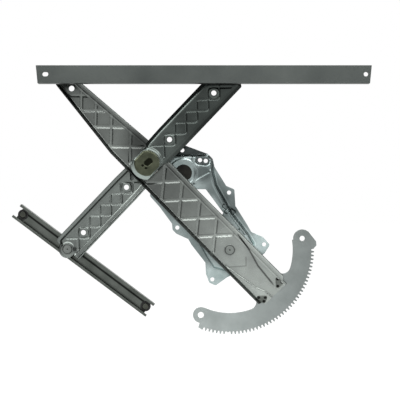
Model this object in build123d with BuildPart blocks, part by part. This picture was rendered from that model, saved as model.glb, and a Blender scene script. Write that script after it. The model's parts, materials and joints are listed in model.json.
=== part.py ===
from build123d import *
from math import copysign, cos, radians, sin, sqrt
import os

# Window regulator with crossed arms, folded as it is for shipping.
# All sizes are millimetres. X runs along the sash channel, Z is up and Y runs away from the viewer.
# The origin is the centre of the four mounting bolts, on the face that meets the door panel.

# Linkage
half_arm = 212.0  # hub to either end of an arm
arm_lean = 46.4  # angle of both arms from the sash channel
pivot_x = 15.7
pivot_z = -24.2
hub_travel = 218.0  # how far the lift arm turns from its folded place

# Sheet metal
arm_sheet = 2.0
plate_sheet = 2.0
channel_sheet = 1.6
sector_sheet = 3.0

# Depths, measured along Y from the mounting face
plate_rise = 8.0  # back of the plate's flange to the back of its raised middle
pivot_gap = 6.0  # raised middle to the lift arm
lift_depth = 9.5  # back of the lift arm's floor to the edge of its rims
cross_depth = 7.5  # outside of a cross arm's floor to the edge of its rims
front_gap = 2.5  # lift arm's rims to the rims of the upper cross arm
back_gap = 1.5  # mounting face to the rims of the lower cross arm
sash_gap = 2.0  # hub cap to the sash channel
rail_gap = 1.8  # lower cross arm to the rail

# Lift arm, outer edge of the rims as (distance from the pivot, distance to the left of the arm)
lift_left_edge = [(-140.0, 26.0), (154.0, 32.5), (269.7, 35.0), (2 * half_arm, 21.4)]
lift_tip = [(2 * half_arm + 16.0, 13.0), (2 * half_arm + 17.0, 0.0), (2 * half_arm + 10.0, -13.0)]
lift_right_edge = [(2 * half_arm - 32.4, -15.2), (243.9, -30.3), (91.9, -33.4), (-140.0, -39.3)]
lift_end = [(-95.0, -60.0), (-106.0, 60.0)]  # line on which the rims stop
lift_run = 5.0  # how far the rims lean outwards
lift_corner = 2.0
tongue_start = 90.0  # flat end that is clinched to the sector, behind the pivot
tongue_reach = 113.0
tongue_left = 27.0
tongue_right = 33.0
tip_hole_at = (2 * half_arm - 22.0, 5.6)
tip_hole = 10.0

# Cross arm halves, the same pressing, as (distance from the hub, distance from the centre line)
cross_side = [(12.0, 23.5), (30.0, 26.5), (60.0, 27.5)]
cross_tip = [(half_arm + 1.0, 27.5), (half_arm + 8.0, 17.0), (half_arm + 13.0, 6.0)]
cross_run = 7.0
cross_corner = 2.0
rim_start = 20.0  # distance from the hub at which the rims begin
end_gap_start = half_arm - 6.0  # the arm's end has no rim between its sides from here on
end_gap_width = 30.0
arm_hole = 9.2
arm_hole_at = [57.5, half_arm - 41.5]
boss_width = 17.0
boss_rise = 0.8
stud_boss = 28.0
stud_boss_rise = 1.2

# Pressed beads
bead_depth = 0.8
lift_bead = 6.0
cross_bead = 4.6
bead_corner = 3.0
lift_stops = [37.0, 80.0, 125.0, 169.0, 213.0, 255.0, 304.0, 344.0, 381.0]
lift_bead_shift = 1.5  # the chain of diamonds lies this far to the left
cross_stops = [43.3, 71.4, 99.5, 127.3, 155.5, 184.0]

# Hub
hub_shaft = 28.0
hub_collar = 40.0
hub_spigot = 18.0
hub_root = 58.0  # round end of a cross arm about the hub
hub_root_flats = 42.0
hub_plate_gap = 1.0  # between the hub's path round the pivot and the base plate
pedestal_rise = 3.0
cap_size = 45.0
cap_flats = 39.0
cap_height = 2.0
cap_edge = 0.6
hub_rivet_size = 22.0
hub_rivet_height = 2.5
bushing_wall = 3.0
bushing_flange = 44.0
bushing_flange_height = 1.5
hub_washer_size = 42.0
hub_washer_height = 1.5
punches = [(3.3, 2.4, 11.0), (-7.0, -4.0, 4.2), (-1.4, -8.2, 4.2)]  # across, up, diameter
punch_depth = 1.2

# Main pivot
pivot_shaft = 12.0
pivot_head = 20.0
pivot_head_height = 2.0
pivot_tail = 18.0
pivot_spacer_size = 30.0
pivot_liner = 17.0
pivot_liner_flange = 26.0
pivot_liner_flange_height = 1.0

# Running clearances
running_fit = 0.05  # on the radius of a pin and on each side of a head
glide_side = 0.6  # on each side of a glide in its channel
glide_face = 0.35  # in front of and behind a glide in its channel

# Sash channel
sash_left = -322.0
sash_right = 260.7
sash_height = 31.0
sash_depth = 13.0
sash_lip = 6.0
sash_slant = 3.0  # the lower edge is this much shorter at each end
sash_slot_x = -305.4
sash_slot_length = 10.4
sash_slot_width = 7.5
sash_hole_x = 250.5
sash_hole = 7.8

# Lower rail
rail_lean = -36.8
rail_back_reach = 116.6  # from the glide to the upper left end
rail_front_reach = 186.0  # from the glide to the lower right end
rail_width = 28.5
rail_depth = 12.5
rail_lip = 4.5
rail_notch = 5.7  # the web stops this far inside the ends of the sides
rail_bolt_at = [12.6 - rail_back_reach, rail_front_reach - 11.0]
bolt_neck = 6.6  # pressed into the washer and the web
bolt_shank = 6.0
bolt_length = 18.0
bolt_head = 11.5
bolt_head_height = 4.0
bolt_washer = 19.0
bolt_washer_height = 1.0

# Glides and their studs
stud_shank = 10.0
stud_collar = 14.0
stud_head = 20.0
stud_head_height = 1.6
stud_tail = 15.0
stud_tail_height = 1.5
tail_recess = 2.2
tail_room = 1.0  # round the tail in the glide's recess

# Sector gear, about the main pivot, angles from +X towards +Z
tooth_count = 42
teeth_per_turn = 140
missing_tooth = 7  # counted from the lower end
missing_rise = 1.4  # of the smooth stretch there, over the roots of the teeth
first_gap = 1.3
tip_radius = 150.3
root_radius = 145.4
gap_width_root = 2.4
gap_width_tip = 5.0
wing_radius = 112.5
wing_fillet = 14.0
neck_start = 76.0  # the neck under the arm begins this far from the pivot
neck_left = 25.5
neck_right = 35.0
upper_eye_radius = 130.8
upper_eye_angle = 9.0
upper_eye = 32.0
upper_eye_hole = 9.5
upper_hook = [(tip_radius - 6.7, 13.3), (tip_radius + 4.4, 5.6), (tip_radius + 4.4, 2.9)]
lower_eye_radius = 126.9
lower_eye_angle = -113.9
lower_eye = 28.0
lower_eye_hole = 11.0
lower_hook = [(tip_radius + 0.5, -108.6), (tip_radius - 1.3, -112.0)]
clinch_distance = 101.4
clinch_sides = [14.0, -23.3]
clinch_turns = [-91.0, -129.0]  # where the first dot of each lies
clinch_head = 13.0
clinch_head_height = 1.0
clinch_shank = 8.0
clinch_dot = 4.4
clinch_dot_radius = 4.2
clinch_dot_depth = 0.8

# Base plate
bolt_circle_radius = 79.5
bolt_angles = [-10.9, 79.1, 169.1, 259.1]
bolt_hole = 7.5
plate_outline = [
    (-78.0, 163.0),
    (-62.0, 162.0),
    (-23.1, 147.6),
    (-14.2, 138.4),
    (-11.2, 124.2),
    (10.0, 90.0),
    (24.6, 84.0),
    (26.4, 54.2),
    (47.6, 20.4),
    (55.0, 7.4),
    (76.2, -2.0),
    (88.5, -16.0),
    (79.0, -31.0),
    (40.0, -62.0),
    (12.0, -74.0),
    (-9.0, -89.0),
    (-20.5, -84.0),
    (-26.5, -68.0),
    (-27.5, -48.0),
    (-52.4, -15.9),
    (-58.4, -5.6),
    (-79.5, 4.0),
    (-86.5, 11.0),
    (-87.5, 22.0),
    (-110.0, 52.5),
    (-127.3, 71.6),
    (-124.0, 98.0),
    (-116.0, 116.0),
    (-113.5, 126.0),
    (-112.0, 140.0),
    (-94.0, 151.0),
]
plate_corner = 5.0
pan_outline = [
    (-97.0, 143.5),
    (-80.0, 144.5),
    (-23.0, 145.6),
    (-15.6, 137.8),
    (-15.4, 124.0),
    (-8.0, 92.0),
    (20.0, 42.0),
    (50.0, 3.0),
    (60.0, -14.0),
    (54.0, -36.0),
    (8.0, -62.0),
    (-12.0, -56.0),
    (-24.0, -38.0),
    (-42.0, -6.0),
    (-58.0, 22.0),
    (-84.0, 36.0),
    (-119.0, 74.0),
    (-117.0, 98.0),
    (-112.0, 116.0),
    (-110.5, 135.0),
]
pan_run = 3.5  # how far the raised middle's walls lean
pan_corner = 5.0
window_outline = [(-50.0, 84.0), (-27.0, 84.0), (4.5, 42.0), (-2.0, 30.0), (-42.0, 40.0), (-62.0, 62.0)]
window_corner = 6.0
pinion_hole_at = (-66.7, 113.1)
pinion_hole = 30.0
motor_circle_radius = 37.4
motor_angles = [38.0, 158.0, 278.0]
motor_hole = 7.5
twin_hole_at = (-26.9, 134.8)
twin_hole = 7.5
top_hole_at = (-69.1, 154.2)
top_hole = 7.5
peep_hole_at = (32.2, 11.3)
peep_hole = 3.0
ring_rib_radius = 24.0
rib_width = 5.0
rib_rise = 1.0
edge_rib = [(-18.0, 116.0), (-6.0, 84.0), (22.0, 34.0), (44.0, 6.0)]
cross_rib = [(-45.0, 98.0), (-20.0, 110.0)]
tab_at = (13.0, 46.0)
tab_angle = 45.0
tab_size = 8.0
tab_rise = 1.6

# Places worked out from the sizes above
lift_angle = 180.0 - arm_lean
upper_angle = arm_lean
lower_angle = 180.0 + arm_lean
reach_x = half_arm * cos(radians(arm_lean))
reach_z = half_arm * sin(radians(arm_lean))
pivot = (pivot_x, pivot_z)
hub = (pivot_x - reach_x, pivot_z + reach_z)
left_end = (pivot_x - 2 * reach_x, pivot_z + 2 * reach_z)
right_end = (pivot_x, pivot_z + 2 * reach_z)
lower_end = (pivot_x - 2 * reach_x, pivot_z)
rail_direction = (cos(radians(rail_lean)), sin(radians(rail_lean)))

# Levels along Y, from the mounting face towards the viewer
plate_front = -plate_rise - plate_sheet
lift_back = plate_front - pivot_gap
lift_front = lift_back - arm_sheet
lift_rim = lift_back - lift_depth
upper_rim = lift_rim - front_gap
upper_front = upper_rim - cross_depth
upper_back = upper_front + arm_sheet
cap_back = upper_front - pedestal_rise
cap_front = cap_back - cap_height
sash_back = cap_back - hub_rivet_height - sash_gap
sash_front = sash_back - sash_depth
sash_glide_back = sash_back - channel_sheet - glide_face
sash_glide_front = sash_front + channel_sheet + glide_face

# Levels along Y, from the mounting face towards the door panel
lower_rim = back_gap
lower_back = lower_rim + cross_depth
lower_front = lower_back - arm_sheet
rail_lips = lower_back + rail_gap
rail_back = rail_lips + rail_depth
rail_web = rail_back - channel_sheet
rail_glide_front = rail_lips + channel_sheet + glide_face
rail_glide_back = rail_web - glide_face

os.makedirs("parts", exist_ok=True)


def level(depth):
    """The plane at a depth along Y that faces the viewer, with its own x along X and y along Z."""
    return Plane(origin=(0, depth, 0), x_dir=(1, 0, 0), z_dir=(0, -1, 0))


def along(place, angle, depth):
    """The plane at a depth that faces the viewer, with its origin at a place and its x at an angle."""
    direction = (cos(radians(angle)), 0, sin(radians(angle)))
    return Plane(origin=(place[0], depth, place[1]), x_dir=direction, z_dir=(0, -1, 0))


def polar(radius, angle):
    """A place given by its radius and angle about the origin of a plane."""
    return (radius * cos(radians(angle)), radius * sin(radians(angle)))


def grown(points, amount):
    """The corners of a polygon whose sides are moved outwards by an amount."""
    count = len(points)
    area = sum(points[i - 1][0] * points[i][1] - points[i][0] * points[i - 1][1] for i in range(count))
    turn = copysign(1, area)
    moved = []
    for i in range(count):
        (ax, ay), (bx, by), (cx, cy) = points[i - 1], points[i], points[(i + 1) % count]
        before = sqrt((bx - ax) ** 2 + (by - ay) ** 2)
        after = sqrt((cx - bx) ** 2 + (cy - by) ** 2)
        nx, ny = turn * (by - ay) / before, turn * (ax - bx) / before
        mx, my = turn * (cy - by) / after, turn * (bx - cx) / after
        share = amount / (1 + nx * mx + ny * my)
        moved.append((bx + share * (nx + mx), by + share * (ny + my)))
    return moved


def closed(plane, points, grow=0.0, corner=0.0):
    """A flat outline through the points, grown all round and then rounded at every corner."""
    with BuildSketch(plane) as shape:
        Polygon(*grown(points, grow), align=None)
        if corner:
            fillet(shape.vertices(), corner)
    return shape.sketch


def double_flat(plane, size, flats):
    """A disc with two flats that lie along the plane's own x."""
    with BuildSketch(plane) as shape:
        Circle(size / 2)
        Rectangle(size, flats, mode=Mode.INTERSECT)
    return shape.sketch


def discs(plane, size, places):
    """Equal discs at the given places of a plane."""
    with BuildSketch(plane) as shape:
        with Locations(*places):
            Circle(size / 2)
    return shape.sketch


def strip(plane, points, width, corner=0.0):
    """A band of even width along a line through the points, with rounded corners if asked for."""
    with BuildSketch(plane) as shape:
        with BuildLine() as path:
            if corner:
                FilletPolyline(*points, radius=corner)
            else:
                Polyline(*points)
        trace(path.line, line_width=width)
    return shape.sketch


def turned(place, sections, mode=Mode.ADD):
    """Round sections about an axis along Y, each given as its diameter and its two depths."""
    for size, start, end in sections:
        extrude(discs(level(start), size, [place]), amount=start - end, mode=mode)


def pressed(plane, points, sheet, rise, run, corner):
    """A floor of sheet with a wall all round that leans outwards as it rises from the plane."""
    way = copysign(1, rise)
    lean = run / abs(rise)
    wall = sheet * sqrt(1 + lean * lean)
    over = 1.0
    base = closed(plane, points, -run, corner)
    edge = closed(plane.offset(rise), points, 0.0, corner + run)
    loft([base, edge], ruled=True)
    inner_base = closed(plane.offset(way * sheet), points, lean * sheet - wall - run, corner)
    inner_edge = closed(
        plane.offset(rise + way * over), points, lean * over - wall, corner + run + lean * (over - sheet)
    )
    loft([inner_base, inner_edge], ruled=True, mode=Mode.SUBTRACT)


def chain(stops, shift, side):
    """One of the two zigzag lines that cross at the stops and leave square diamonds between them."""
    first = (stops[1] - stops[0]) / 2
    last = (stops[-1] - stops[-2]) / 2
    line = [(stops[0] - first, shift - side * first)]
    for start, stop in zip(stops, stops[1:]):
        half = (stop - start) / 2
        line.append((start + half, shift + side * half))
        side = -side
    line.append((stops[-1] + last, shift + side * last))
    return line


def beads(plane, stops, shift, width, clearings, limit):
    """Both zigzag lines of a chain inside a limit, left out inside the clearings.

    A clearing is a round place, given as its distance along the plane's x and its diameter.
    """
    with BuildSketch(plane) as shape:
        add(strip(Plane.XY, chain(stops, shift, 1), width, bead_corner + width / 2))
        add(strip(Plane.XY, chain(stops, shift, -1), width, bead_corner + width / 2))
        for reach, size in clearings:
            with Locations((reach, 0)):
                Circle(size / 2, mode=Mode.SUBTRACT)
        add(closed(Plane.XY, limit), mode=Mode.INTERSECT)
    return shape.sketch


# Base plate: a flange on the door panel round a raised middle that carries the motor and the pivot
with BuildPart() as base_plate:
    extrude(closed(level(0), plate_outline, 0.0, plate_corner), amount=plate_sheet)
    pressed(level(plate_front), pan_outline, plate_sheet, plate_front, pan_run, pan_corner)
    face = level(plate_front)
    with BuildSketch(face) as ribs:
        with Locations(pinion_hole_at):
            Circle(ring_rib_radius + rib_width / 2)
            Circle(ring_rib_radius - rib_width / 2, mode=Mode.SUBTRACT)
        add(strip(Plane.XY, edge_rib, rib_width, 2 * rib_width))
        add(strip(Plane.XY, cross_rib, rib_width))
        add(closed(Plane.XY, pan_outline, -pan_run, pan_corner), mode=Mode.INTERSECT)
    extrude(ribs.sketch, amount=rib_rise)
    with BuildSketch(face) as tab:
        with Locations(Location((*tab_at, 0), tab_angle)):
            Rectangle(tab_size, tab_size / 2)
    extrude(tab.sketch, amount=tab_rise)
    with BuildSketch(level(0)) as holes:
        with Locations(*[polar(bolt_circle_radius, angle) for angle in bolt_angles]):
            Circle(bolt_hole / 2)
        with Locations(top_hole_at):
            Circle(top_hole / 2)
        with Locations(twin_hole_at):
            Circle(twin_hole / 2)
        with Locations(peep_hole_at):
            Circle(peep_hole / 2)
        with Locations(pinion_hole_at):
            Circle(pinion_hole / 2)
            with Locations(*[polar(motor_circle_radius, angle) for angle in motor_angles]):
                Circle(motor_hole / 2)
        with Locations(pivot):
            Circle(pivot_shaft / 2)
        add(closed(Plane.XY, window_outline, 0.0, window_corner))
        with BuildLine() as hub_path:
            CenterArc(pivot, half_arm, lift_angle, hub_travel)
        trace(hub_path.line, line_width=hub_shaft + 2 * hub_plate_gap)
        with Locations(hub):
            Circle(hub_shaft / 2 + hub_plate_gap)
    extrude(holes.sketch, amount=2 * plate_rise, both=True, mode=Mode.SUBTRACT)

with BuildPart() as pivot_rivet:
    turned(
        pivot,
        [
            (pivot_tail, -plate_rise + pivot_head_height, -plate_rise),
            (pivot_shaft, -plate_rise, lift_front - running_fit),
            (pivot_head, lift_front - running_fit, lift_front - running_fit - pivot_head_height),
        ],
    )

with BuildPart() as pivot_spacer:
    liner_back = lift_back + pivot_liner_flange_height + running_fit
    turned(pivot, [(pivot_spacer_size, plate_front, liner_back)])
    turned(pivot, [(pivot_shaft, plate_front, liner_back)], Mode.SUBTRACT)

# Lift arm: a long tray whose floor carries the sector at one end and the sash glide at the other
with BuildPart() as lift_arm:
    outline = lift_left_edge + lift_tip + lift_right_edge
    floor = along(pivot, lift_angle, lift_back)
    top = floor.offset(arm_sheet)
    pressed(floor, outline, arm_sheet, lift_depth, lift_run, lift_corner)
    behind_end = lift_end + [(reach - half_arm, side) for reach, side in reversed(lift_end)]
    extrude(closed(floor, behind_end), amount=2 * lift_depth, mode=Mode.SUBTRACT)
    tongue = [
        (-tongue_reach, tongue_left),
        (-tongue_start, tongue_left),
        (-tongue_start, -tongue_right),
        (-tongue_reach, -tongue_right),
    ]
    extrude(closed(floor, tongue, 0.0, lift_corner), amount=arm_sheet)
    floor_edge = grown(outline, -lift_run)
    clearings = [(half_arm, hub_root), (2 * half_arm, stud_boss)]
    lattice = beads(floor, lift_stops, lift_bead_shift, lift_bead, clearings, floor_edge)
    extrude(lattice, amount=-bead_depth)
    lattice = beads(top, lift_stops, lift_bead_shift, lift_bead, clearings, floor_edge)
    extrude(lattice, amount=-bead_depth, mode=Mode.SUBTRACT)
    with BuildSketch(floor) as bores:
        Circle(pivot_liner / 2)
        with Locations((half_arm, 0)):
            Circle(hub_shaft / 2 + bushing_wall)
        with Locations((2 * half_arm, 0)):
            Circle(stud_shank / 2)
        with Locations(tip_hole_at):
            Circle(tip_hole / 2)
        with Locations(*[(-clinch_distance, side) for side in clinch_sides]):
            Circle(clinch_shank / 2)
    extrude(bores.sketch, amount=2 * arm_sheet, both=True, mode=Mode.SUBTRACT)

with BuildPart() as pivot_liner_ring:
    turned(
        pivot,
        [
            (pivot_liner, lift_back, lift_front),
            (pivot_liner_flange, lift_back + pivot_liner_flange_height, lift_back),
        ],
    )
    turned(pivot, [(pivot_shaft + 2 * running_fit, plate_front, lift_rim)], Mode.SUBTRACT)

bushing_front = lift_front - bushing_flange_height
with BuildPart() as hub_bushing:
    turned(
        hub,
        [
            (hub_shaft + 2 * bushing_wall, lift_back, lift_front),
            (bushing_flange, lift_front, bushing_front),
        ],
    )
    turned(hub, [(hub_shaft + 2 * running_fit, plate_front, lift_rim)], Mode.SUBTRACT)

# Sector gear, clinched behind the lift arm
with BuildPart() as sector_gear:
    sector_plane = along(pivot, 0.0, lift_back + sector_sheet)
    pitch = 360.0 / teeth_per_turn
    last_gap = first_gap - tooth_count * pitch
    with BuildSketch(sector_plane) as blank:
        with BuildLine():
            rim = CenterArc((0, 0), tip_radius, last_gap, first_gap - last_gap)
            inner = CenterArc((0, 0), wing_radius, lower_eye_angle, upper_eye_angle - lower_eye_angle)
            Polyline(rim @ 0, *[polar(*place) for place in lower_hook], inner @ 0)
            Polyline(inner @ 1, *[polar(*place) for place in upper_hook], rim @ 1)
        make_face()
        with Locations(polar(upper_eye_radius, upper_eye_angle)):
            Circle(upper_eye / 2)
        with Locations(polar(lower_eye_radius, lower_eye_angle)):
            Circle(lower_eye / 2)
        neck_reach = wing_radius + wing_fillet
        neck = [
            (-neck_start, neck_left),
            (-neck_start, -neck_right),
            (-neck_reach, -neck_right),
            (-neck_reach, neck_left),
        ]
        turn = Plane(origin=(0, 0, 0), x_dir=(cos(radians(lift_angle)), sin(radians(lift_angle)), 0))
        add(closed(turn, neck))
        for side in (neck_left, -neck_right):
            meeting = turn.from_local_coords((-sqrt(wing_radius**2 - side**2), side, 0))
            fillet(blank.vertices().sort_by_distance(meeting)[0], wing_fillet)
    extrude(blank.sketch, amount=sector_sheet)
    with BuildSketch(sector_plane) as gaps:
        with PolarLocations(0, tooth_count + 1, first_gap - pitch / 2, pitch * -tooth_count, endpoint=True):
            with Locations(Location((root_radius, 0))):
                Polygon(
                    (0, -gap_width_root / 2),
                    (tip_radius - root_radius + 1, -gap_width_tip / 2),
                    (tip_radius - root_radius + 1, gap_width_tip / 2),
                    (0, gap_width_root / 2),
                    align=None,
                )
        smooth_angle = first_gap - pitch * (tooth_count - missing_tooth + 1)
        with Locations(Location((*polar(root_radius + missing_rise, smooth_angle), 0), smooth_angle)):
            Rectangle(tip_radius - root_radius, root_radius * radians(pitch), align=(Align.MIN, Align.CENTER))
    extrude(gaps.sketch, amount=sector_sheet, mode=Mode.SUBTRACT)
    with BuildSketch(sector_plane) as eyes:
        with Locations(polar(upper_eye_radius, upper_eye_angle)):
            Circle(upper_eye_hole / 2)
        with Locations(polar(lower_eye_radius, lower_eye_angle)):
            Circle(lower_eye_hole / 2)
    extrude(eyes.sketch, amount=sector_sheet, mode=Mode.SUBTRACT)
    clinches = [(-clinch_distance, side) for side in clinch_sides]
    clinch_holes = discs(along(pivot, lift_angle, lift_back), clinch_shank, clinches)
    extrude(clinch_holes, amount=-sector_sheet, mode=Mode.SUBTRACT)

# Clinched joints between the arm and the sector, each with three punched dots
sector_rivets = []
for side, first_dot in zip(clinch_sides, clinch_turns):
    with BuildPart() as rivet:
        seat = along(pivot, lift_angle, lift_back + sector_sheet)
        extrude(discs(seat, clinch_shank, [(-clinch_distance, side)]), amount=sector_sheet + arm_sheet)
        head_plane = seat.offset(sector_sheet + arm_sheet)
        extrude(discs(head_plane, clinch_head, [(-clinch_distance, side)]), amount=clinch_head_height)
        with BuildSketch(head_plane.offset(clinch_head_height)) as dots:
            with Locations((-clinch_distance, side)):
                with PolarLocations(clinch_dot_radius, 3, first_dot):
                    Circle(clinch_dot / 2)
        extrude(dots.sketch, amount=-clinch_dot_depth, mode=Mode.SUBTRACT)
    sector_rivets.append(rivet.part)


def cross_half(angle, floor_depth, rise, pedestal):
    """One half of the cross arm, with its floor at a depth and its rims rising by rise along the view."""
    way = copysign(1, rise)
    floor = along(hub, angle, floor_depth)
    left_side = cross_side + cross_tip
    outline = left_side + [(reach, -width) for reach, width in reversed(left_side)]
    with BuildPart() as half:
        pressed(floor, outline, arm_sheet, rise, cross_run, cross_corner)
        with BuildSketch(floor.offset(way * arm_sheet)) as open_ends:
            with Locations((rim_start - half_arm / 2, 0)):
                Rectangle(half_arm, 3 * hub_root)
            with Locations((end_gap_start + half_arm / 2, 0)):
                Rectangle(half_arm, end_gap_width)
        extrude(open_ends.sketch, amount=2 * rise, mode=Mode.SUBTRACT)
        extrude(double_flat(floor, hub_root, hub_root_flats), amount=way * arm_sheet)
        hole_places = [(reach, 0.0) for reach in arm_hole_at]
        clearings = [(half_arm, stud_boss)] + [(reach, boss_width) for reach in arm_hole_at]
        outer = floor if rise < 0 else floor.offset(arm_sheet)
        inner = floor.offset(-arm_sheet) if rise < 0 else floor
        floor_edge = grown(outline, -cross_run)
        lattice = beads(outer, cross_stops, 0.0, cross_bead, clearings, floor_edge)
        extrude(lattice, amount=-bead_depth, mode=Mode.SUBTRACT)
        lattice = beads(inner, cross_stops, 0.0, cross_bead, clearings, floor_edge)
        extrude(lattice, amount=-bead_depth)
        extrude(discs(outer, boss_width, hole_places), amount=boss_rise)
        if pedestal:
            foot = double_flat(floor, hub_root, hub_root_flats)
            seat = double_flat(floor.offset(pedestal), cap_size, cap_flats)
            loft([foot, seat], ruled=True)
        else:
            extrude(discs(outer, stud_boss, [(half_arm, 0)]), amount=stud_boss_rise)
        with BuildSketch(floor) as bores:
            Circle(hub_spigot / 2)
            with Locations((half_arm, 0)):
                Circle(stud_shank / 2)
            with Locations(*hole_places):
                Circle(arm_hole / 2)
        extrude(bores.sketch, amount=2 * cross_depth, both=True, mode=Mode.SUBTRACT)
    return half.part


cross_arm_upper = cross_half(upper_angle, upper_front, -cross_depth, pedestal_rise)
cross_arm_lower = cross_half(lower_angle, lower_back, cross_depth, 0.0)

# Hub that joins the two halves through the lift arm
with BuildPart() as cross_hub:
    turned(
        hub,
        [
            (hub_spigot, lower_back, lower_front),
            (hub_shaft, lower_front, bushing_front - running_fit),
            (hub_collar, bushing_front - running_fit, upper_back),
            (hub_spigot, upper_back, cap_back),
        ],
    )

with BuildPart() as hub_washer:
    washer_front = lift_back + running_fit
    turned(hub, [(hub_washer_size, washer_front + hub_washer_height, washer_front)])
    turned(hub, [(hub_shaft, washer_front + hub_washer_height, washer_front)], Mode.SUBTRACT)

with BuildPart() as hub_cap:
    cap_plane = along(hub, upper_angle, cap_back)
    extrude(double_flat(cap_plane, cap_size, cap_flats), amount=cap_height)
    chamfer(hub_cap.faces().sort_by(Axis.Y)[0].edges(), cap_edge)
    turned(hub, [(hub_rivet_size, cap_back, cap_front)], Mode.SUBTRACT)

with BuildPart() as hub_rivet:
    rivet_front = cap_back - hub_rivet_height
    turned(hub, [(hub_rivet_size, cap_back, rivet_front)])
    with BuildSketch(along(hub, 0.0, rivet_front)) as punched:
        for across, up, size in punches:
            with Locations((across, up)):
                Circle(size / 2)
    extrude(punched.sketch, amount=-punch_depth, mode=Mode.SUBTRACT)


def glide_stud(place, arm_back, arm_front, glide_near, glide_far):
    """A stud riveted through an arm, with a collar up to the glide and a tail that holds the glide on."""
    way = copysign(1, glide_far - glide_near)
    collar_end = glide_near - way * running_fit
    tail_seat = glide_far - way * (tail_recess - running_fit)
    with BuildPart() as stud:
        turned(
            place,
            [
                (stud_head, arm_back - way * stud_head_height, arm_back),
                (stud_shank, arm_back, tail_seat),
                (stud_collar, arm_front, collar_end),
                (stud_tail, tail_seat, tail_seat + way * stud_tail_height),
            ],
        )
    return stud.part


def glide(place, near, far, size):
    """A round nylon glide with a bore for its stud and a recess for the stud's tail."""
    way = copysign(1, far - near)
    with BuildPart() as ring:
        turned(place, [(size, near, far)])
        turned(place, [(stud_shank + 2 * running_fit, near, far)], Mode.SUBTRACT)
        turned(place, [(stud_tail + 2 * tail_room, far - way * tail_recess, far)], Mode.SUBTRACT)
    return ring.part


sash_glide_size = sash_height - 2 * channel_sheet - 2 * glide_side
rail_glide_size = rail_width - 2 * channel_sheet - 2 * glide_side
left_glide_stud = glide_stud(left_end, lift_back, lift_front, sash_glide_back, sash_glide_front)
right_glide_stud = glide_stud(right_end, upper_back, upper_front, sash_glide_back, sash_glide_front)
lower_boss = lower_front - stud_boss_rise
lower_glide_stud = glide_stud(lower_end, lower_boss, lower_back, rail_glide_front, rail_glide_back)
left_glide = glide(left_end, sash_glide_back, sash_glide_front, sash_glide_size)
right_glide = glide(right_end, sash_glide_back, sash_glide_front, sash_glide_size)
rail_glide = glide(lower_end, rail_glide_front, rail_glide_back, rail_glide_size)

# Sash channel: folded sheet, open at the back, with its web towards the viewer
with BuildPart() as sash_channel:
    sash_z = right_end[1]
    half = sash_height / 2
    front_face = [
        (sash_left, sash_z + half),
        (sash_right, sash_z + half),
        (sash_right - sash_slant, sash_z - half),
        (sash_left + sash_slant, sash_z - half),
    ]
    extrude(closed(level(sash_back), front_face), amount=sash_depth)
    centre_x = (sash_left + sash_right) / 2
    length = sash_right - sash_left
    with BuildSketch(level(sash_back)) as mouth:
        with Locations((centre_x, sash_z)):
            Rectangle(2 * length, sash_height - 2 * sash_lip)
    extrude(mouth.sketch, amount=channel_sheet, mode=Mode.SUBTRACT)
    with BuildSketch(level(sash_back - channel_sheet)) as hollow:
        with Locations((centre_x, sash_z)):
            Rectangle(2 * length, sash_height - 2 * channel_sheet)
    extrude(hollow.sketch, amount=sash_depth - 2 * channel_sheet, mode=Mode.SUBTRACT)
    with BuildSketch(level(sash_front)) as holes:
        with Locations((sash_slot_x, sash_z)):
            SlotOverall(sash_slot_length, sash_slot_width)
        with Locations((sash_hole_x, sash_z)):
            Circle(sash_hole / 2)
    extrude(holes.sketch, amount=-2 * channel_sheet, mode=Mode.SUBTRACT)

# Lower rail: folded sheet, open towards the viewer, with its web against the door panel
with BuildPart() as lower_rail:
    back_plane = along(lower_end, rail_lean, rail_back)
    rail_length = rail_back_reach + rail_front_reach
    rail_middle = (rail_front_reach - rail_back_reach) / 2
    with BuildSketch(back_plane) as rail_face:
        with Locations((rail_middle, 0)):
            Rectangle(rail_length, rail_width)
    extrude(rail_face.sketch, amount=rail_depth)
    with BuildSketch(back_plane.offset(channel_sheet)) as rail_hollow:
        with Locations((rail_middle, 0)):
            Rectangle(2 * rail_length, rail_width - 2 * channel_sheet)
    extrude(rail_hollow.sketch, amount=rail_depth - 2 * channel_sheet, mode=Mode.SUBTRACT)
    with BuildSketch(back_plane.offset(rail_depth - channel_sheet)) as rail_mouth:
        with Locations((rail_middle, 0)):
            Rectangle(2 * rail_length, rail_width - 2 * rail_lip)
    extrude(rail_mouth.sketch, amount=channel_sheet, mode=Mode.SUBTRACT)
    with BuildSketch(back_plane) as notches:
        with Locations((-rail_back_reach, 0), (rail_front_reach, 0)):
            Rectangle(2 * rail_notch, rail_width - 2 * channel_sheet)
    extrude(notches.sketch, amount=channel_sheet, mode=Mode.SUBTRACT)
    bolt_holes = discs(back_plane, bolt_neck, [(at, 0) for at in rail_bolt_at])
    extrude(bolt_holes, amount=channel_sheet, mode=Mode.SUBTRACT)

# Bolts that stand out of the back of the rail, each on a dark washer
rail_bolts = []
rail_washers = []
washer_face = rail_web - bolt_washer_height
for at in rail_bolt_at:
    place = (lower_end[0] + at * rail_direction[0], lower_end[1] + at * rail_direction[1])
    with BuildPart() as bolt:
        turned(
            place,
            [
                (bolt_head, washer_face, washer_face - bolt_head_height),
                (bolt_neck, rail_back, washer_face),
                (bolt_shank, rail_back + bolt_length, rail_back),
            ],
        )
        chamfer(bolt.faces().sort_by(Axis.Y)[0].edges(), cap_edge)
        chamfer(bolt.faces().sort_by(Axis.Y)[-1].edges(), cap_edge)
    rail_bolts.append(bolt.part)
    with BuildPart() as ring:
        turned(place, [(bolt_washer, rail_web, washer_face)])
        turned(place, [(bolt_neck, rail_web, washer_face)], Mode.SUBTRACT)
    rail_washers.append(ring.part)

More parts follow.
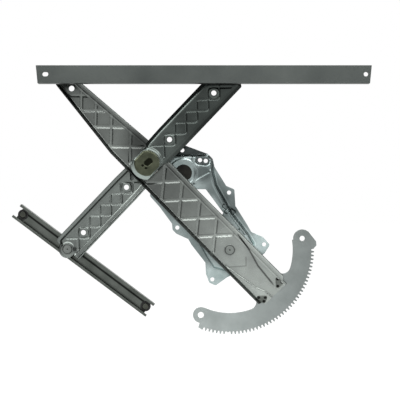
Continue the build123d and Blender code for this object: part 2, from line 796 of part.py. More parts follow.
pieces = {
    "base_plate": base_plate.part,
    "pivot_rivet": pivot_rivet.part,
    "pivot_spacer": pivot_spacer.part,
    "lift_arm": lift_arm.part,
    "pivot_liner": pivot_liner_ring.part,
    "hub_bushing": hub_bushing.part,
    "sector_gear": sector_gear.part,
    "left_glide_stud": left_glide_stud,
    "cross_arm_upper": cross_arm_upper,
    "cross_arm_lower": cross_arm_lower,
    "cross_hub": cross_hub.part,
    "hub_washer": hub_washer.part,
    "hub_cap": hub_cap.part,
    "hub_rivet": hub_rivet.part,
    "right_glide_stud": right_glide_stud,
    "lower_glide_stud": lower_glide_stud,
    "left_glide": left_glide,
    "right_glide": right_glide,
    "rail_glide": rail_glide,
    "sash_channel": sash_channel.part,
    "lower_rail": lower_rail.part,
}
for number in range(2):
    pieces[f"sector_rivet_{number + 1}"] = sector_rivets[number]
    pieces[f"rail_bolt_{number + 1}"] = rail_bolts[number]
    pieces[f"rail_washer_{number + 1}"] = rail_washers[number]
for name, piece in pieces.items():
    piece.label = name
    export_step(piece, f"parts/{name}.step")
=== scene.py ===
"""Window regulator with crossed arms: pressed sheets, finishes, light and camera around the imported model."""

import json
import logging
import math
from dataclasses import dataclass, field
from enum import Enum
from typing import Any

import bpy
import numpy as np
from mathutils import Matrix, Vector

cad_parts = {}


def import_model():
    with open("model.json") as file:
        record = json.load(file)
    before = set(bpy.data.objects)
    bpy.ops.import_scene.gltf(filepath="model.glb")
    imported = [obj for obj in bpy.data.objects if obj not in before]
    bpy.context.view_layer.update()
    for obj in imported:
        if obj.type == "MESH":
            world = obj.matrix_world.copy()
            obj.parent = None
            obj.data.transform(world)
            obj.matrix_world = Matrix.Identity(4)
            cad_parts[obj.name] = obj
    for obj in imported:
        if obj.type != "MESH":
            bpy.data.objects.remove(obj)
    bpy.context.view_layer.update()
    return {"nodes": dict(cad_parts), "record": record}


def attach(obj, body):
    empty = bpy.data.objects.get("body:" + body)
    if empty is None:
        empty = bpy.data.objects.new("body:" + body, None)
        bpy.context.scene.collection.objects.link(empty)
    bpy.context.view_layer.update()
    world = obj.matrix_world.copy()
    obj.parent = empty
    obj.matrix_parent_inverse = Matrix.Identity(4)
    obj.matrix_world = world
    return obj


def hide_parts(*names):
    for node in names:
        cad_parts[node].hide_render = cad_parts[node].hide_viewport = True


log = logging.getLogger("window_regulator")
Points = list[tuple[float, float]]
Colour = tuple[float, float, float]
Tree = bpy.types.NodeTree
Socket = bpy.types.NodeSocket


class Side(Enum):
    """The side on which a sheet's thickness is added to the surface that is worked out."""

    BACK = -1.0
    FRONT = 1.0


class Place(Enum):
    """Centres of the pressings and heads in the plane of the arms, in millimetres."""

    ORIGIN = (0.0, 0.0)
    PIVOT = (15.7, -24.2)
    HUB = (-130.5, 129.32)
    LOWER_END = (-276.7, -24.2)
    DRIVE = (-66.7, 113.1)


def listed(*rows: Any) -> Any:
    """A dataclass field that starts as a fresh list of the given rows."""
    return field(default_factory=lambda: list(rows))


def smooth_step(low: float, high: float, value: np.ndarray) -> np.ndarray:
    """A soft step: 0 below low, 1 above high, and 3u^2 - 2u^3 between them.

    Args:
        low: Value at which the step begins.
        high: Value at which it is complete.
        value: Where the step is read.

    Returns:
        The height of the step at each value.
    """
    share = np.clip((value - low) / (high - low), 0.0, 1.0)
    return share * share * (3.0 - 2.0 * share)


def soft_fall(low: float, high: float, value: np.ndarray) -> np.ndarray:
    """The soft step turned round: 1 below low and 0 above high."""
    return 1.0 - smooth_step(low, high, value)


def soft_ramp(value: np.ndarray, width: float) -> np.ndarray:
    """A ramp that rises from nothing with a rounded start: (v + sqrt(v^2 + w^2)) / 2.

    Args:
        value: Distance past the start of the ramp.
        width: How wide the rounded start is.

    Returns:
        The height of the ramp.
    """
    return 0.5 * (value + np.sqrt(value * value + width * width))


def soft_least(first: np.ndarray, second: np.ndarray, width: float) -> np.ndarray:
    """The lesser of two distances with the crease between them rounded.

    Args:
        first: One distance.
        second: The other distance.
        width: How near to each other they are where the rounding begins.

    Returns:
        The rounded least distance.
    """
    share = np.clip(0.5 + 0.5 * (second - first) / width, 0.0, 1.0)
    return second + (first - second) * share - width * share * (1.0 - share)


def segment_distance(starts: np.ndarray, ends: np.ndarray, s: np.ndarray, t: np.ndarray) -> np.ndarray:
    """Distance from each point to the nearest of several straight runs.

    Args:
        starts: First ends of the runs, one row each.
        ends: Second ends of the runs, one row each.
        s: First coordinates of the points.
        t: Second coordinates of the points.

    Returns:
        The distances, in the points' own shape.
    """
    shape = (-1,) + (1,) * s.ndim
    ax, ay = starts[:, 0].reshape(shape), starts[:, 1].reshape(shape)
    ex, ey = ends[:, 0].reshape(shape) - ax, ends[:, 1].reshape(shape) - ay
    share = np.clip(((s - ax) * ex + (t - ay) * ey) / (ex * ex + ey * ey), 0.0, 1.0)
    return np.sqrt(((s - ax - share * ex) ** 2 + (t - ay - share * ey) ** 2).min(axis=0))


def line_distance(points: Points, s: np.ndarray, t: np.ndarray) -> np.ndarray:
    """Distance from each point to an open line of straight runs.

    Args:
        points: Corners of the line.
        s: First coordinates.
        t: Second coordinates.

    Returns:
        The distances.
    """
    corners = np.asarray(points, float)
    return segment_distance(corners[:-1], corners[1:], s, t)


def inside_distance(points: Points, s: np.ndarray, t: np.ndarray) -> np.ndarray:
    """Distance to a closed outline, above nought inside it and below nought outside.

    A point is inside where a ray from it crosses the outline an odd number of times.

    Args:
        points: Corners of the outline.
        s: First coordinates.
        t: Second coordinates.

    Returns:
        The signed distances.
    """
    corners = np.asarray(points, float)
    following = np.roll(corners, -1, axis=0)
    shape = (-1,) + (1,) * s.ndim
    ax, ay = corners[:, 0].reshape(shape), corners[:, 1].reshape(shape)
    bx, by = following[:, 0].reshape(shape), following[:, 1].reshape(shape)
    rise = np.where(by == ay, 1.0, by - ay)
    crossed = ((ay > t) != (by > t)) & (s < ax + (t - ay) * (bx - ax) / rise)
    inside = crossed.sum(axis=0) % 2 == 1
    return np.where(inside, 1.0, -1.0) * segment_distance(corners, following, s, t)


def clear_of(
    holes: list[tuple[float, float, float]], distance: np.ndarray, s: np.ndarray, t: np.ndarray
) -> np.ndarray:
    """Cuts round holes: the least of a distance inside and the distances beyond each hole's edge.

    Args:
        holes: Centre and radius of each hole.
        distance: Distance inside the rest of the edge.
        s: First coordinates.
        t: Second coordinates.

    Returns:
        The signed distances.
    """
    for at, side, radius in holes:
        distance = np.minimum(distance, np.hypot(s - at, t - side) - radius)
    return distance


def grown(points: Points, amount: float) -> Points:
    """The corners of an outline whose sides are moved outwards, each corner along its two normals.

    Args:
        points: Corners of the outline.
        amount: Distance of the move.

    Returns:
        The moved corners.
    """
    here = np.asarray(points, float)
    before, after = np.roll(here, 1, axis=0), np.roll(here, -1, axis=0)
    turn = np.sign((before[:, 0] * here[:, 1] - here[:, 0] * before[:, 1]).sum())
    first, second = here - before, after - here
    first /= np.linalg.norm(first, axis=1, keepdims=True)
    second /= np.linalg.norm(second, axis=1, keepdims=True)
    first = turn * np.stack([first[:, 1], -first[:, 0]], axis=1)
    second = turn * np.stack([second[:, 1], -second[:, 0]], axis=1)
    share = amount / (1.0 + (first * second).sum(axis=1, keepdims=True))
    return [tuple(corner) for corner in here + share * (first + second)]


def rounded_distance(points: Points, corner: float, s: np.ndarray, t: np.ndarray) -> np.ndarray:
    """Inside distance to an outline with rounded outer corners: the distance to a smaller one, made larger.

    Args:
        points: Corners of the outline.
        corner: Radius of its outer corners.
        s: First coordinates.
        t: Second coordinates.

    Returns:
        The signed distances.
    """
    return inside_distance(grown(points, -corner), s, t) + corner


def zigzag(stops: list[float], shift: float, side: float, swing: float = 1.0, corner: float = 4.0) -> Points:
    """One of two lines that cross at the stops and leave diamonds between them, with its corners rounded.

    A corner is a curve of the second degree: (1-u)^2 a + 2u(1-u) b + u^2 c, from one corner
    length before it to one after it.

    Args:
        stops: Distances along the arm at which the lines cross.
        shift: How far to the left the crossings lie.
        side: 1 for the line that first swings left, -1 for the other.
        swing: Half width of a diamond as a share of its half length.
        corner: Length of the rounding to each side of a corner.

    Returns:
        The points of the line.
    """
    at = np.asarray(stops, float)
    half = np.diff(at) / 2.0
    half = np.concatenate([half[:1], half, half[-1:]])
    middle = np.concatenate([[at[0] - half[0]], at[:-1] + half[1:-1], [at[-1] + half[-1]]])
    signs = side * (-1.0) ** np.arange(-1, len(half) - 1)
    bends = np.stack([middle, shift + signs * swing * half], axis=1)
    before, here, after = bends[:-2, None], bends[1:-1, None], bends[2:, None]
    start = here + corner * (before - here) / np.linalg.norm(before - here, axis=2, keepdims=True)
    end = here + corner * (after - here) / np.linalg.norm(after - here, axis=2, keepdims=True)
    u = np.linspace(0.0, 1.0, 5)[None, :, None]
    curves = (1.0 - u) ** 2 * start + 2.0 * u * (1.0 - u) * here + u * u * end
    return [tuple(bends[0])] + [tuple(point) for point in curves.reshape(-1, 2)] + [tuple(bends[-1])]


def groove(distance: np.ndarray, half_width: float, slope: float) -> np.ndarray:
    """Depth share of a pressed line: 1 on the line, 0 beyond its half width, falling evenly between.

    Args:
        distance: Distance from the line.
        half_width: Where the groove ends.
        slope: Width of its sloping side.

    Returns:
        The share of the full depth.
    """
    return np.clip((half_width - distance) / slope, 0.0, 1.0)


def add_mesh(
    name: str,
    vertices: np.ndarray,
    faces: np.ndarray,
    normals: np.ndarray,
    painted_shading: np.ndarray,
    body: str,
) -> bpy.types.Object:
    """Makes a piece from arrays and lets it ride on a body.

    Args:
        name: Name of the piece.
        vertices: Places of its vertices, in millimetres.
        faces: Four vertex numbers for each face.
        normals: Normal of each corner of each face, nought where it is worked out from the faces.
        painted_shading: How much lighter or darker than its finish each vertex is, as a share.
        body: Body that carries the piece.

    Returns:
        The new object.
    """
    mesh = bpy.data.meshes.new(name)
    mesh.vertices.add(len(vertices))
    mesh.vertices.foreach_set("co", (vertices * 0.001).astype(np.float32).ravel())
    mesh.loops.add(faces.size)
    mesh.loops.foreach_set("vertex_index", faces.astype(np.int32).ravel())
    mesh.polygons.add(len(faces))
    mesh.polygons.foreach_set("loop_start", np.arange(0, faces.size, 4, dtype=np.int32))
    mesh.update(calc_edges=True)
    mesh.validate()
    mesh.shade_smooth()
    mesh.set_sharp_from_angle(angle=math.radians(40.0))
    if len(mesh.loops) == len(normals):
        mesh.normals_split_custom_set(normals.astype(np.float32))
    # Painted light and shade ride on each vertex as an attribute that the finishes multiply into the colour.
    mesh.attributes.new("painted_shading", "FLOAT", "POINT").data.foreach_set("value", painted_shading.astype(np.float32))
    piece = bpy.data.objects.new(name, mesh)
    bpy.context.scene.collection.objects.link(piece)
    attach(piece, body)
    log.info("%s: %d vertices on %s", name, len(vertices), body)
    return piece


@dataclass
class PressedSheet:
    """A sheet of steel pressed into a shape that is a height over its own flat plane.

    The plane's first axis points along angle, its second to the left of that, and heights rise
    towards the viewer from depth.
    """

    name: str
    body: str
    slot: str
    place: Place
    angle: float
    depth: float
    sheet: float = 2.0
    side: Side = Side.BACK
    step: float = 1.15

    def grid(self) -> tuple[np.ndarray, np.ndarray]:
        """Coordinates of the grid that the sheet is cut from."""
        raise NotImplementedError

    def inside(self, s: np.ndarray, t: np.ndarray) -> np.ndarray:
        """Distance inside the sheet's edge and holes."""
        raise NotImplementedError

    def height(self, s: np.ndarray, t: np.ndarray) -> np.ndarray:
        """Height of the surface that the thickness is added to."""
        raise NotImplementedError

    def painted_shading(self, s: np.ndarray, t: np.ndarray) -> np.ndarray:
        """Painted light and shade: how much lighter or darker than its finish the sheet is painted, as a
        share.
        """
        return np.zeros_like(s)

    def backing(self, first: np.ndarray, normal: np.ndarray) -> np.ndarray:
        """The other surface: one sheet away along the normals of the first."""
        return first + self.side.value * self.sheet * normal

    def back_normal(self, normal: np.ndarray) -> np.ndarray:
        """Normals of the surface that faces away from the viewer."""
        return -normal

    def slope(self, what, s: np.ndarray, t: np.ndarray) -> tuple[np.ndarray, np.ndarray]:
        """Slopes of a function along both axes, from its values a little to either side.

        Args:
            what: The function.
            s: First coordinates.
            t: Second coordinates.

        Returns:
            The slope along the first axis and the slope along the second.
        """
        near = 0.08
        along = (what(s + near, t) - what(s - near, t)) / (2.0 * near)
        across = (what(s, t + near) - what(s, t - near)) / (2.0 * near)
        return along, across

    def build(self) -> bpy.types.Object:
        """Cuts the grid to the sheet's outline, raises it and gives it a thickness.

        Cells whose middle is outside are left out. The vertices on the border slide along the
        slope of the inside distance until that distance is nought. The second surface lies one
        sheet away along the first one's normal, and a wall joins the two along the border.

        Returns:
            The finished piece.
        """
        s, t = self.grid()
        middle_s = 0.25 * (s[:-1, :-1] + s[1:, :-1] + s[:-1, 1:] + s[1:, 1:])
        middle_t = 0.25 * (t[:-1, :-1] + t[1:, :-1] + t[:-1, 1:] + t[1:, 1:])
        kept = np.pad(self.inside(middle_s, middle_t) > 0.0, 1)
        counts = kept[:-1, :-1] + 0 + kept[1:, :-1] + kept[:-1, 1:] + kept[1:, 1:]
        border = (counts > 0) & (counts < 4)
        edge_s, edge_t = s[border], t[border]
        for _ in range(3):
            value = self.inside(edge_s, edge_t)
            along, across = self.slope(self.inside, edge_s, edge_t)
            size = np.maximum(along * along + across * across, 0.25)
            edge_s = edge_s - np.clip(value * along / size, -self.step, self.step)
            edge_t = edge_t - np.clip(value * across / size, -self.step, self.step)
        far = np.hypot(edge_s - s[border], edge_t - t[border])
        keep_share = np.minimum(1.0, 1.1 * self.step / np.maximum(far, 1e-6))
        s[border] += (edge_s - s[border]) * keep_share
        t[border] += (edge_t - t[border]) * keep_share

        used = counts > 0
        number = np.full(s.shape, -1)
        number[used] = np.arange(used.sum())
        flat_s, flat_t = s[used], t[used]
        rise = self.height(flat_s, flat_t)
        along, across = self.slope(self.height, flat_s, flat_t)
        normal = np.stack([-along, -across, np.ones_like(along)], axis=1)
        normal /= np.linalg.norm(normal, axis=1, keepdims=True)
        first = np.stack([flat_s, flat_t, rise], axis=1)
        second = self.backing(first, normal)
        front, back = (first, second) if self.side is Side.BACK else (second, first)

        inner = kept[1:-1, 1:-1]
        a, b = number[:-1, :-1][inner], number[1:, :-1][inner]
        c, d = number[1:, 1:][inner], number[:-1, 1:][inner]
        count = len(front)
        faces = [np.stack([a, b, c, d], axis=1), count + np.stack([d, c, b, a], axis=1)]
        runs = (
            (kept[1:-1, :-2], number[:-1, :-1], number[1:, :-1]),
            (kept[2:, 1:-1], number[1:, :-1], number[1:, 1:]),
            (kept[1:-1, 2:], number[1:, 1:], number[:-1, 1:]),
            (kept[:-2, 1:-1], number[:-1, 1:], number[:-1, :-1]),
        )
        for neighbour, start, end in runs:
            open_side = inner & ~neighbour
            p, q = start[open_side], end[open_side]
            faces.append(np.stack([q, p, count + p, count + q], axis=1))
        local = np.concatenate([front, back])
        # Painted light and shade of each vertex, the same on both surfaces.
        painted_shading = np.tile(self.painted_shading(flat_s, flat_t), 2)
        both = self.turned(np.concatenate([normal, self.back_normal(normal)]))
        sheets = np.concatenate(faces[:2])
        walls = np.zeros((4 * sum(len(wall) for wall in faces[2:]), 3))
        normals = np.concatenate([both[sheets.ravel()], walls])
        return add_mesh(
            self.name, self.placed(local), np.concatenate(faces), normals, painted_shading, self.body
        )

    def turned(self, local: np.ndarray) -> np.ndarray:
        """Turns directions in the sheet's plane into directions in the frame.

        Args:
            local: Share along, share to the left and share in height, one row each.

        Returns:
            X, Y and Z, one row each.
        """
        turn = math.radians(self.angle)
        x = local[:, 0] * math.cos(turn) - local[:, 1] * math.sin(turn)
        z = local[:, 0] * math.sin(turn) + local[:, 1] * math.cos(turn)
        return np.stack([x, -local[:, 2], z], axis=1)

    def placed(self, local: np.ndarray) -> np.ndarray:
        """Turns places in the sheet's plane into places in the frame, in millimetres."""
        x0, z0 = self.place.value
        return self.turned(local) + np.array([x0, self.depth, z0])


def banded(
    edges: tuple[Points, Points], start: float, end: float, step: float
) -> tuple[np.ndarray, np.ndarray]:
    """A grid whose lines follow both edges of an arm: t = right + v (left - right).

    Args:
        edges: Corners of the left edge and of the right edge.
        start: Distance along the arm at which the grid begins.
        end: Distance along the arm at which it ends.
        step: Size of a cell.

    Returns:
        The grid's coordinates along and across the arm.
    """
    along = np.linspace(start, end, int((end - start) / step) + 1)
    left = np.interp(along, *np.transpose(edges[0]))
    right = np.interp(along, *np.transpose(edges[1]))
    columns = int((left - right).max() / step) + 1
    share = np.linspace(0.0, 1.0, columns)[None, :]
    t = right[:, None] + share * (left - right)[:, None]
    return np.repeat(along[:, None], columns, axis=1), t


@dataclass
class LiftArm(PressedSheet):
    """The long arm: a tray with leaning rims, crossed beads and a flat end that carries the sector."""

    name: str = "lift_arm_pressing"
    body: str = "lift"
    slot: str = "lift_arm"
    place: Place = Place.PIVOT
    angle: float = 133.6
    depth: float = -16.0
    step: float = 0.95
    left_edge: Points = listed((-140.0, 28.5), (0.0, 31.3), (154.0, 33.0), (269.7, 35.0), (424.0, 21.4))
    tip: Points = listed((440.0, 13.0), (441.0, 0.0), (434.0, -13.0))
    right_edge: Points = listed((391.6, -15.2), (243.9, -30.3), (91.9, -33.4), (-140.0, -39.3))
    rim_run: float = 5.0
    rim_slope: tuple[float, float] = (0.85, 2.3)
    rim_foot: tuple[float, float] = (10.5, 5.4)
    edge_inset: float = 2.0
    stops: list[float] = listed(37.0, 80.0, 125.0, 169.0, 213.0, 255.0, 304.0, 344.0, 381.0)
    bead_shift: float = 1.5
    bead_width: float = 7.6
    bead_slope: float = 2.6
    bead_depth: float = 1.15
    lower_swing: float = 1.17
    tongue_end: float = -113.0
    rim_stop: float = -100.5
    hub_place: float = 212.0
    hub_flat: float = 27.0
    pad_heights: tuple[float, float] = (0.9, 1.5)
    # Painted light and shade: how strong each painted mark on the arm is.
    pad_line_painted_shade: float = 0.75
    mark_tone: float = 0.3
    painted_light_share: float = 0.3
    glint_painted_shade: float = 0.38
    hub_painted_shadow: float = 0.65
    hub_shade: tuple[float, float] = (245.0, -22.0)
    rim_painted_shade: float = 0.8
    left_pad: Points = listed((-120.0, 2.0), (-96.0, 5.0), (-80.0, 12.0), (-52.0, 17.5), (-18.0, 24.0))
    right_pad: Points = listed((-120.0, -12.0), (-88.0, -14.5), (-55.0, -17.0), (-25.0, -25.0), (12.0, -30.0))
    # Painted light along the arm: lighter towards the sector end, darker in the middle and towards the top
    # end.
    along_painted_light: Points = listed(
        (-113.0, 0.8), (-60.0, 0.9), (0.0, 0.75), (40.0, 0.4), (80.0, 0.1), (120.0, -0.25), (170.0, -0.45),
        (212.0, -0.2), (260.0, -0.15), (300.0, -0.3), (380.0, -0.35), (440.0, -0.35),
    )
    # Painted light and shade across the right rim, by distance inside its edge.
    edge_painted_shading: Points = listed(
        (2.0, 0.5), (3.2, 0.5), (4.4, 0.1), (7.4, 0.1), (8.0, -0.4), (9.4, -0.4), (10.2, 0.3), (11.4, 0.3),
        (12.2, 0.0),
    )
    mark_line: Points = listed((-21.0, 22.0), (-40.7, -1.3), (-29.0, -12.3))
    holes: list[tuple[float, float, float]] = listed(
        (0.0, 0.0, 8.5), (212.0, 0.0, 17.0), (424.0, 0.0, 5.0), (402.0, 5.6, 5.0),
    )

    def grid(self) -> tuple[np.ndarray, np.ndarray]:
        """A grid along the arm whose lines follow both rims.

        Returns:
            The coordinates along the first axis and along the second.
        """
        left = self.left_edge + self.tip[:2]
        right = [(441.0, -14.0)] + self.right_edge
        return banded((left, right[::-1]), -116.0, 442.0, self.step)

    def edge(self, s: np.ndarray, t: np.ndarray) -> np.ndarray:
        """Distance inside the outer edge of the rims."""
        return rounded_distance(self.left_edge + self.tip + self.right_edge, 5.0, s, t)

    def inside(self, s: np.ndarray, t: np.ndarray) -> np.ndarray:
        """Distance inside the edge, which narrows to the floor's own width where the rims stop.

        Args:
            s: First coordinates.
            t: Second coordinates.

        Returns:
            The signed distances.
        """
        stop = self.rim_stop - 0.09 * t
        narrow = (self.rim_run + 0.4) * soft_fall(-7.0, 0.0, s - stop)
        distance = np.minimum(self.edge(s, t) - self.edge_inset - narrow, s - self.tongue_end)
        return clear_of(self.holes, distance, s, t)

    def height(self, s: np.ndarray, t: np.ndarray) -> np.ndarray:
        """Floor, rims that lean outwards, sunk beads and the two raised pads at the lower end.

        Args:
            s: First coordinates.
            t: Second coordinates.

        Returns:
            The heights.
        """
        left_share = smooth_step(-5.0, 5.0, t)
        slope = self.rim_slope[0] + (self.rim_slope[1] - self.rim_slope[0]) * left_share
        foot = self.rim_foot[0] + (self.rim_foot[1] - self.rim_foot[0]) * left_share
        wall = slope * soft_ramp(foot - self.edge(s, t), 0.9)
        left, right = self.pad_sides(s, t)
        pads = self.pad_heights[0] * smooth_step(-1.1, 1.1, left) * soft_fall(-24.0, -14.0, s)
        pads = pads + self.pad_heights[1] * smooth_step(-1.1, 1.1, right) * soft_fall(2.0, 14.0, s)
        return self.sheet + wall - self.bead_depth * self.beads(foot, s, t) + pads

    def beads(self, foot: np.ndarray | float, s: np.ndarray, t: np.ndarray) -> np.ndarray:
        """Depth share of the crossed beads.

        Args:
            foot: Distance from the edge at which a rim begins.
            s: Distance along the arm.
            t: Distance to the left.

        Returns:
            1 along the beads' middles, 0 away from them, round the hub and beside the rims.
        """
        runs = ((self.stops[:5], self.lower_swing), (self.stops[4:], 1.0))
        lower, upper = [
            [line_distance(zigzag(stops, self.bead_shift, side, swing), s, t) for side in (1.0, -1.0)]
            for stops, swing in runs
        ]
        crossing = np.where(s < self.stops[4], soft_least(*lower, 1.2), soft_least(*upper, 1.2))
        bead = groove(crossing, self.bead_width / 2.0, self.bead_slope)
        bead = bead * smooth_step(self.hub_flat, self.hub_flat + 3.0, np.hypot(s - self.hub_place, t))
        return bead * smooth_step(12.0, 18.0, s) * smooth_step(foot + 1.2, foot + 3.2, self.edge(s, t))

    def pad_sides(self, s: np.ndarray, t: np.ndarray) -> tuple[np.ndarray, np.ndarray]:
        """Distance past the edge of the left pad and past the edge of the right pad.

        Args:
            s: First coordinates.
            t: Second coordinates.

        Returns:
            The two distances.
        """
        left = np.interp(s, *np.transpose(self.left_pad))
        right = np.interp(s, *np.transpose(self.right_pad))
        return t - left, right - t

    def painted_shading(self, s: np.ndarray, t: np.ndarray) -> np.ndarray:
        """Painted light and shade: lighter towards the sector, a painted shadow beside the hub, painted shade
        on the left rim, along the right pad and over glinting slopes, painted light and shade across the right
        rim, painted light on the left pad and the beads' middles, and darker along the mark line.

        Args:
            s: First coordinates.
            t: Second coordinates.

        Returns:
            The shares.
        """
        # Painted light along the arm.
        share = 1.0 + np.interp(s, *np.transpose(self.along_painted_light))
        left, right = self.pad_sides(s, t)
        # Painted shade along the right pad's edge.
        line = smooth_step(-12.0, 2.0, -s) * soft_fall(0.8, 2.2, np.abs(right))
        share = share * (1.0 - self.pad_line_painted_shade * line * soft_fall(90.0, 104.0, -s))
        mark = line_distance(self.mark_line, s, t)
        share = share * (1.0 - self.mark_tone * soft_fall(0.7, 1.6, mark))
        edge = self.edge(s, t)
        # Painted light and shade across the right rim.
        share = share + np.interp(edge, *np.transpose(self.edge_painted_shading)) * smooth_step(0.0, 5.0, -t)
        # Painted light on the left pad and the beads' middles.
        share = share + self.painted_light_share * smooth_step(-1.0, 2.0, left) * smooth_step(30.0, 50.0, -s)
        bead = self.beads(self.rim_foot[1], s, t)
        share = share + self.painted_light_share * smooth_step(0.5, 1.0, bead)
        # Painted shade where the beads' slopes and the left pad's edge would glint.
        slopes = 4.0 * bead * (1.0 - bead) * soft_fall(60.0, 140.0, s)
        pad_line = smooth_step(10.0, 16.0, -s) * soft_fall(1.0, 2.6, np.abs(left))
        share = share * (1.0 - self.glint_painted_shade * np.maximum(slopes, pad_line))
        # A painted shadow beside the hub and painted shade on the left rim.
        beside_hub = soft_fall(10.0, 55.0, np.hypot(s - self.hub_shade[0], t - self.hub_shade[1]))
        left_rim = soft_fall(4.0, 5.6, edge) * smooth_step(0.0, 5.0, t)
        return share * (1.0 - self.hub_painted_shadow * beside_hub) * (1.0 - self.rim_painted_shade * left_rim) - 1.0


@dataclass
class CrossArm(PressedSheet):
    """One half of the cross arm: leaning rims, a chain of beads, two bossed holes and a round root."""

    step: float = 0.64
    edge_line: Points = listed(
        (12.0, 23.5), (30.0, 26.5), (60.0, 27.5), (213.0, 27.5), (220.0, 17.0), (225.0, 6.0),
    )
    rim_height: float = 7.5
    rim_run: float = 7.0
    stops: list[float] = listed(43.3, 71.4, 99.5, 127.3, 155.5, 184.0)
    bead_width: float = 6.0
    bead_slope: float = 2.3
    bead_depth: float = 1.1
    bend: float = 1.2
    end_round: float = 14.5
    hole_places: tuple[float, float] = (57.5, 170.5)
    hole_radius: float = 4.6
    hub_hole: float = 9.0
    stud_hole: float = 5.0
    boss_height: float = 0.5
    root: tuple[float, float] = (29.0, 21.0)
    cap: tuple[float, float] = (22.5, 19.5)
    half_arm: float = 212.0
    rim_end: float = 213.0

    def grid(self) -> tuple[np.ndarray, np.ndarray]:
        """A grid along the arm, wide enough for the rims and the round root.

        Returns:
            The coordinates along the first axis and along the second.
        """
        start, end = -30.0, 228.0
        left = [(start, 30.0), (12.0, 29.5), (40.0, 29.0), (end, 29.0)]
        return banded((left, [(along, -side) for along, side in left]), start, end, self.step)

    def edge(self, s: np.ndarray, t: np.ndarray) -> np.ndarray:
        """Distance inside the outer edge of the rims."""
        outline = self.edge_line + [(along, -side) for along, side in reversed(self.edge_line)]
        return rounded_distance(outline, 4.0, s, t)

    def root_distance(self, size: tuple[float, float], s: np.ndarray, t: np.ndarray) -> np.ndarray:
        """Distance inside a disc about the hub that is cut by two flats.

        Args:
            size: Radius of the disc and half the distance between its flats.
            s: Distance along the arm.
            t: Distance to the left.

        Returns:
            The signed distance.
        """
        return np.minimum(size[0] - np.hypot(s, t), size[1] - np.abs(t))

    def inside(self, s: np.ndarray, t: np.ndarray) -> np.ndarray:
        """Distance inside the sheet, whose rims run out near the hub and at the middle of the end.

        Args:
            s: First coordinates.
            t: Second coordinates.

        Returns:
            The signed distances.
        """
        run_out = soft_fall(14.0, 24.0, s)
        trimmed = np.minimum(self.edge(s, t) - 1.4 - self.rim_run * run_out, self.rim_end - s - 0.08 * t)
        distance = np.maximum(trimmed, self.root_distance(self.root, s, t))
        distance = np.maximum(distance, self.end_round - np.hypot(s - self.half_arm, t))
        holes = [(0.0, 0.0, self.hub_hole), (self.half_arm, 0.0, self.stud_hole)]
        holes += [(place, 0.0, self.hole_radius) for place in self.hole_places]
        return clear_of(holes, distance, s, t)

    def bumps(self, s: np.ndarray, t: np.ndarray) -> np.ndarray:
        """Height of the beads and bosses over the floor.

        Args:
            s: First coordinates.
            t: Second coordinates.

        Returns:
            The heights.
        """
        lines = [line_distance(zigzag(self.stops, 0.0, side, 1.0, 5.5), s, t) for side in (1.0, -1.0)]
        bead = groove(soft_least(*lines, 1.2), self.bead_width / 2.0, self.bead_slope)
        boss = np.zeros_like(s)
        for place in self.hole_places:
            boss = np.maximum(boss, soft_fall(7.0, 10.0, np.hypot(s - place, t)))
        return self.boss_height * boss - self.bead_depth * bead * (1.0 - boss)

    def wall(self, s: np.ndarray, t: np.ndarray) -> np.ndarray:
        """Height of the leaning rims over the floor's inner face."""
        return self.rim_height / self.rim_run * soft_ramp(self.rim_run + 0.6 - self.edge(s, t), self.bend)


@dataclass
class UpperCrossArm(CrossArm):
    """The half in front of the lift arm, with its rims turned back and a raised seat for the hub cap."""

    name: str = "cross_arm_upper_pressing"
    body: str = "cross"
    slot: str = "cross_upper"
    place: Place = Place.HUB
    angle: float = 46.4
    depth: float = -35.5
    side: Side = Side.FRONT
    seat_rise: float = 3.0
    # Painted light on the seat, near the hub, on the rings and along the left rim; painted shade on the right
    # rim.
    seat_painted_light: tuple[float, float] = (1.4, 4.0)
    near_painted_light: float = 0.7
    ring_painted_light: float = 1.2
    ring_radius: float = 7.6
    line_painted_light: float = 1.3
    line_inset: float = 8.2
    rim_painted_shade: float = 0.55

    def painted_shading(self, s: np.ndarray, t: np.ndarray) -> np.ndarray:
        """Painted light on the seat, near the hub, on the holes' rings and along the left rim, and painted
        shade on the right rim.

        Args:
            s: First coordinates.
            t: Second coordinates.

        Returns:
            The shares.
        """
        seat = soft_fall(-0.5, 1.5, np.hypot(s, t) - self.root[0] + 1.0)
        seat = seat * (self.seat_painted_light[0] + self.seat_painted_light[1] * smooth_step(-4.0, 14.0, -s))
        near = self.near_painted_light * soft_fall(40.0, 110.0, s)
        off_ring = [np.abs(np.hypot(s - place, t) - self.ring_radius) for place in self.hole_places]
        rings = soft_fall(0.6, 1.6, np.min(off_ring, axis=0))
        edge = self.edge(s, t)
        beyond_root = smooth_step(20.0, 30.0, s)
        rim = smooth_step(0.0, 6.0, -t) * soft_fall(5.5, 8.5, edge) * beyond_root
        off_line = np.abs(edge - self.line_inset)
        line = smooth_step(0.0, 6.0, t) * soft_fall(0.7, 1.7, off_line) * beyond_root
        return np.maximum(seat, near) + self.ring_painted_light * rings + self.line_painted_light * line - self.rim_painted_shade * rim

    def height(self, s: np.ndarray, t: np.ndarray) -> np.ndarray:
        """Back of the floor, with the rims behind it and a seat that rises between two outlines.

        Args:
            s: First coordinates.
            t: Second coordinates.

        Returns:
            The heights.
        """
        outer = self.root_distance(self.root, s, t)
        inner = self.root_distance(self.cap, s, t)
        share = np.clip(outer / np.maximum(outer - inner, 0.5), 0.0, 1.0)
        seat = self.seat_rise * smooth_step(-0.15, 1.1, share)
        fade = smooth_step(14.0, 24.0, s)
        return -self.sheet - self.wall(s, t) * fade + self.bumps(s, t) + seat


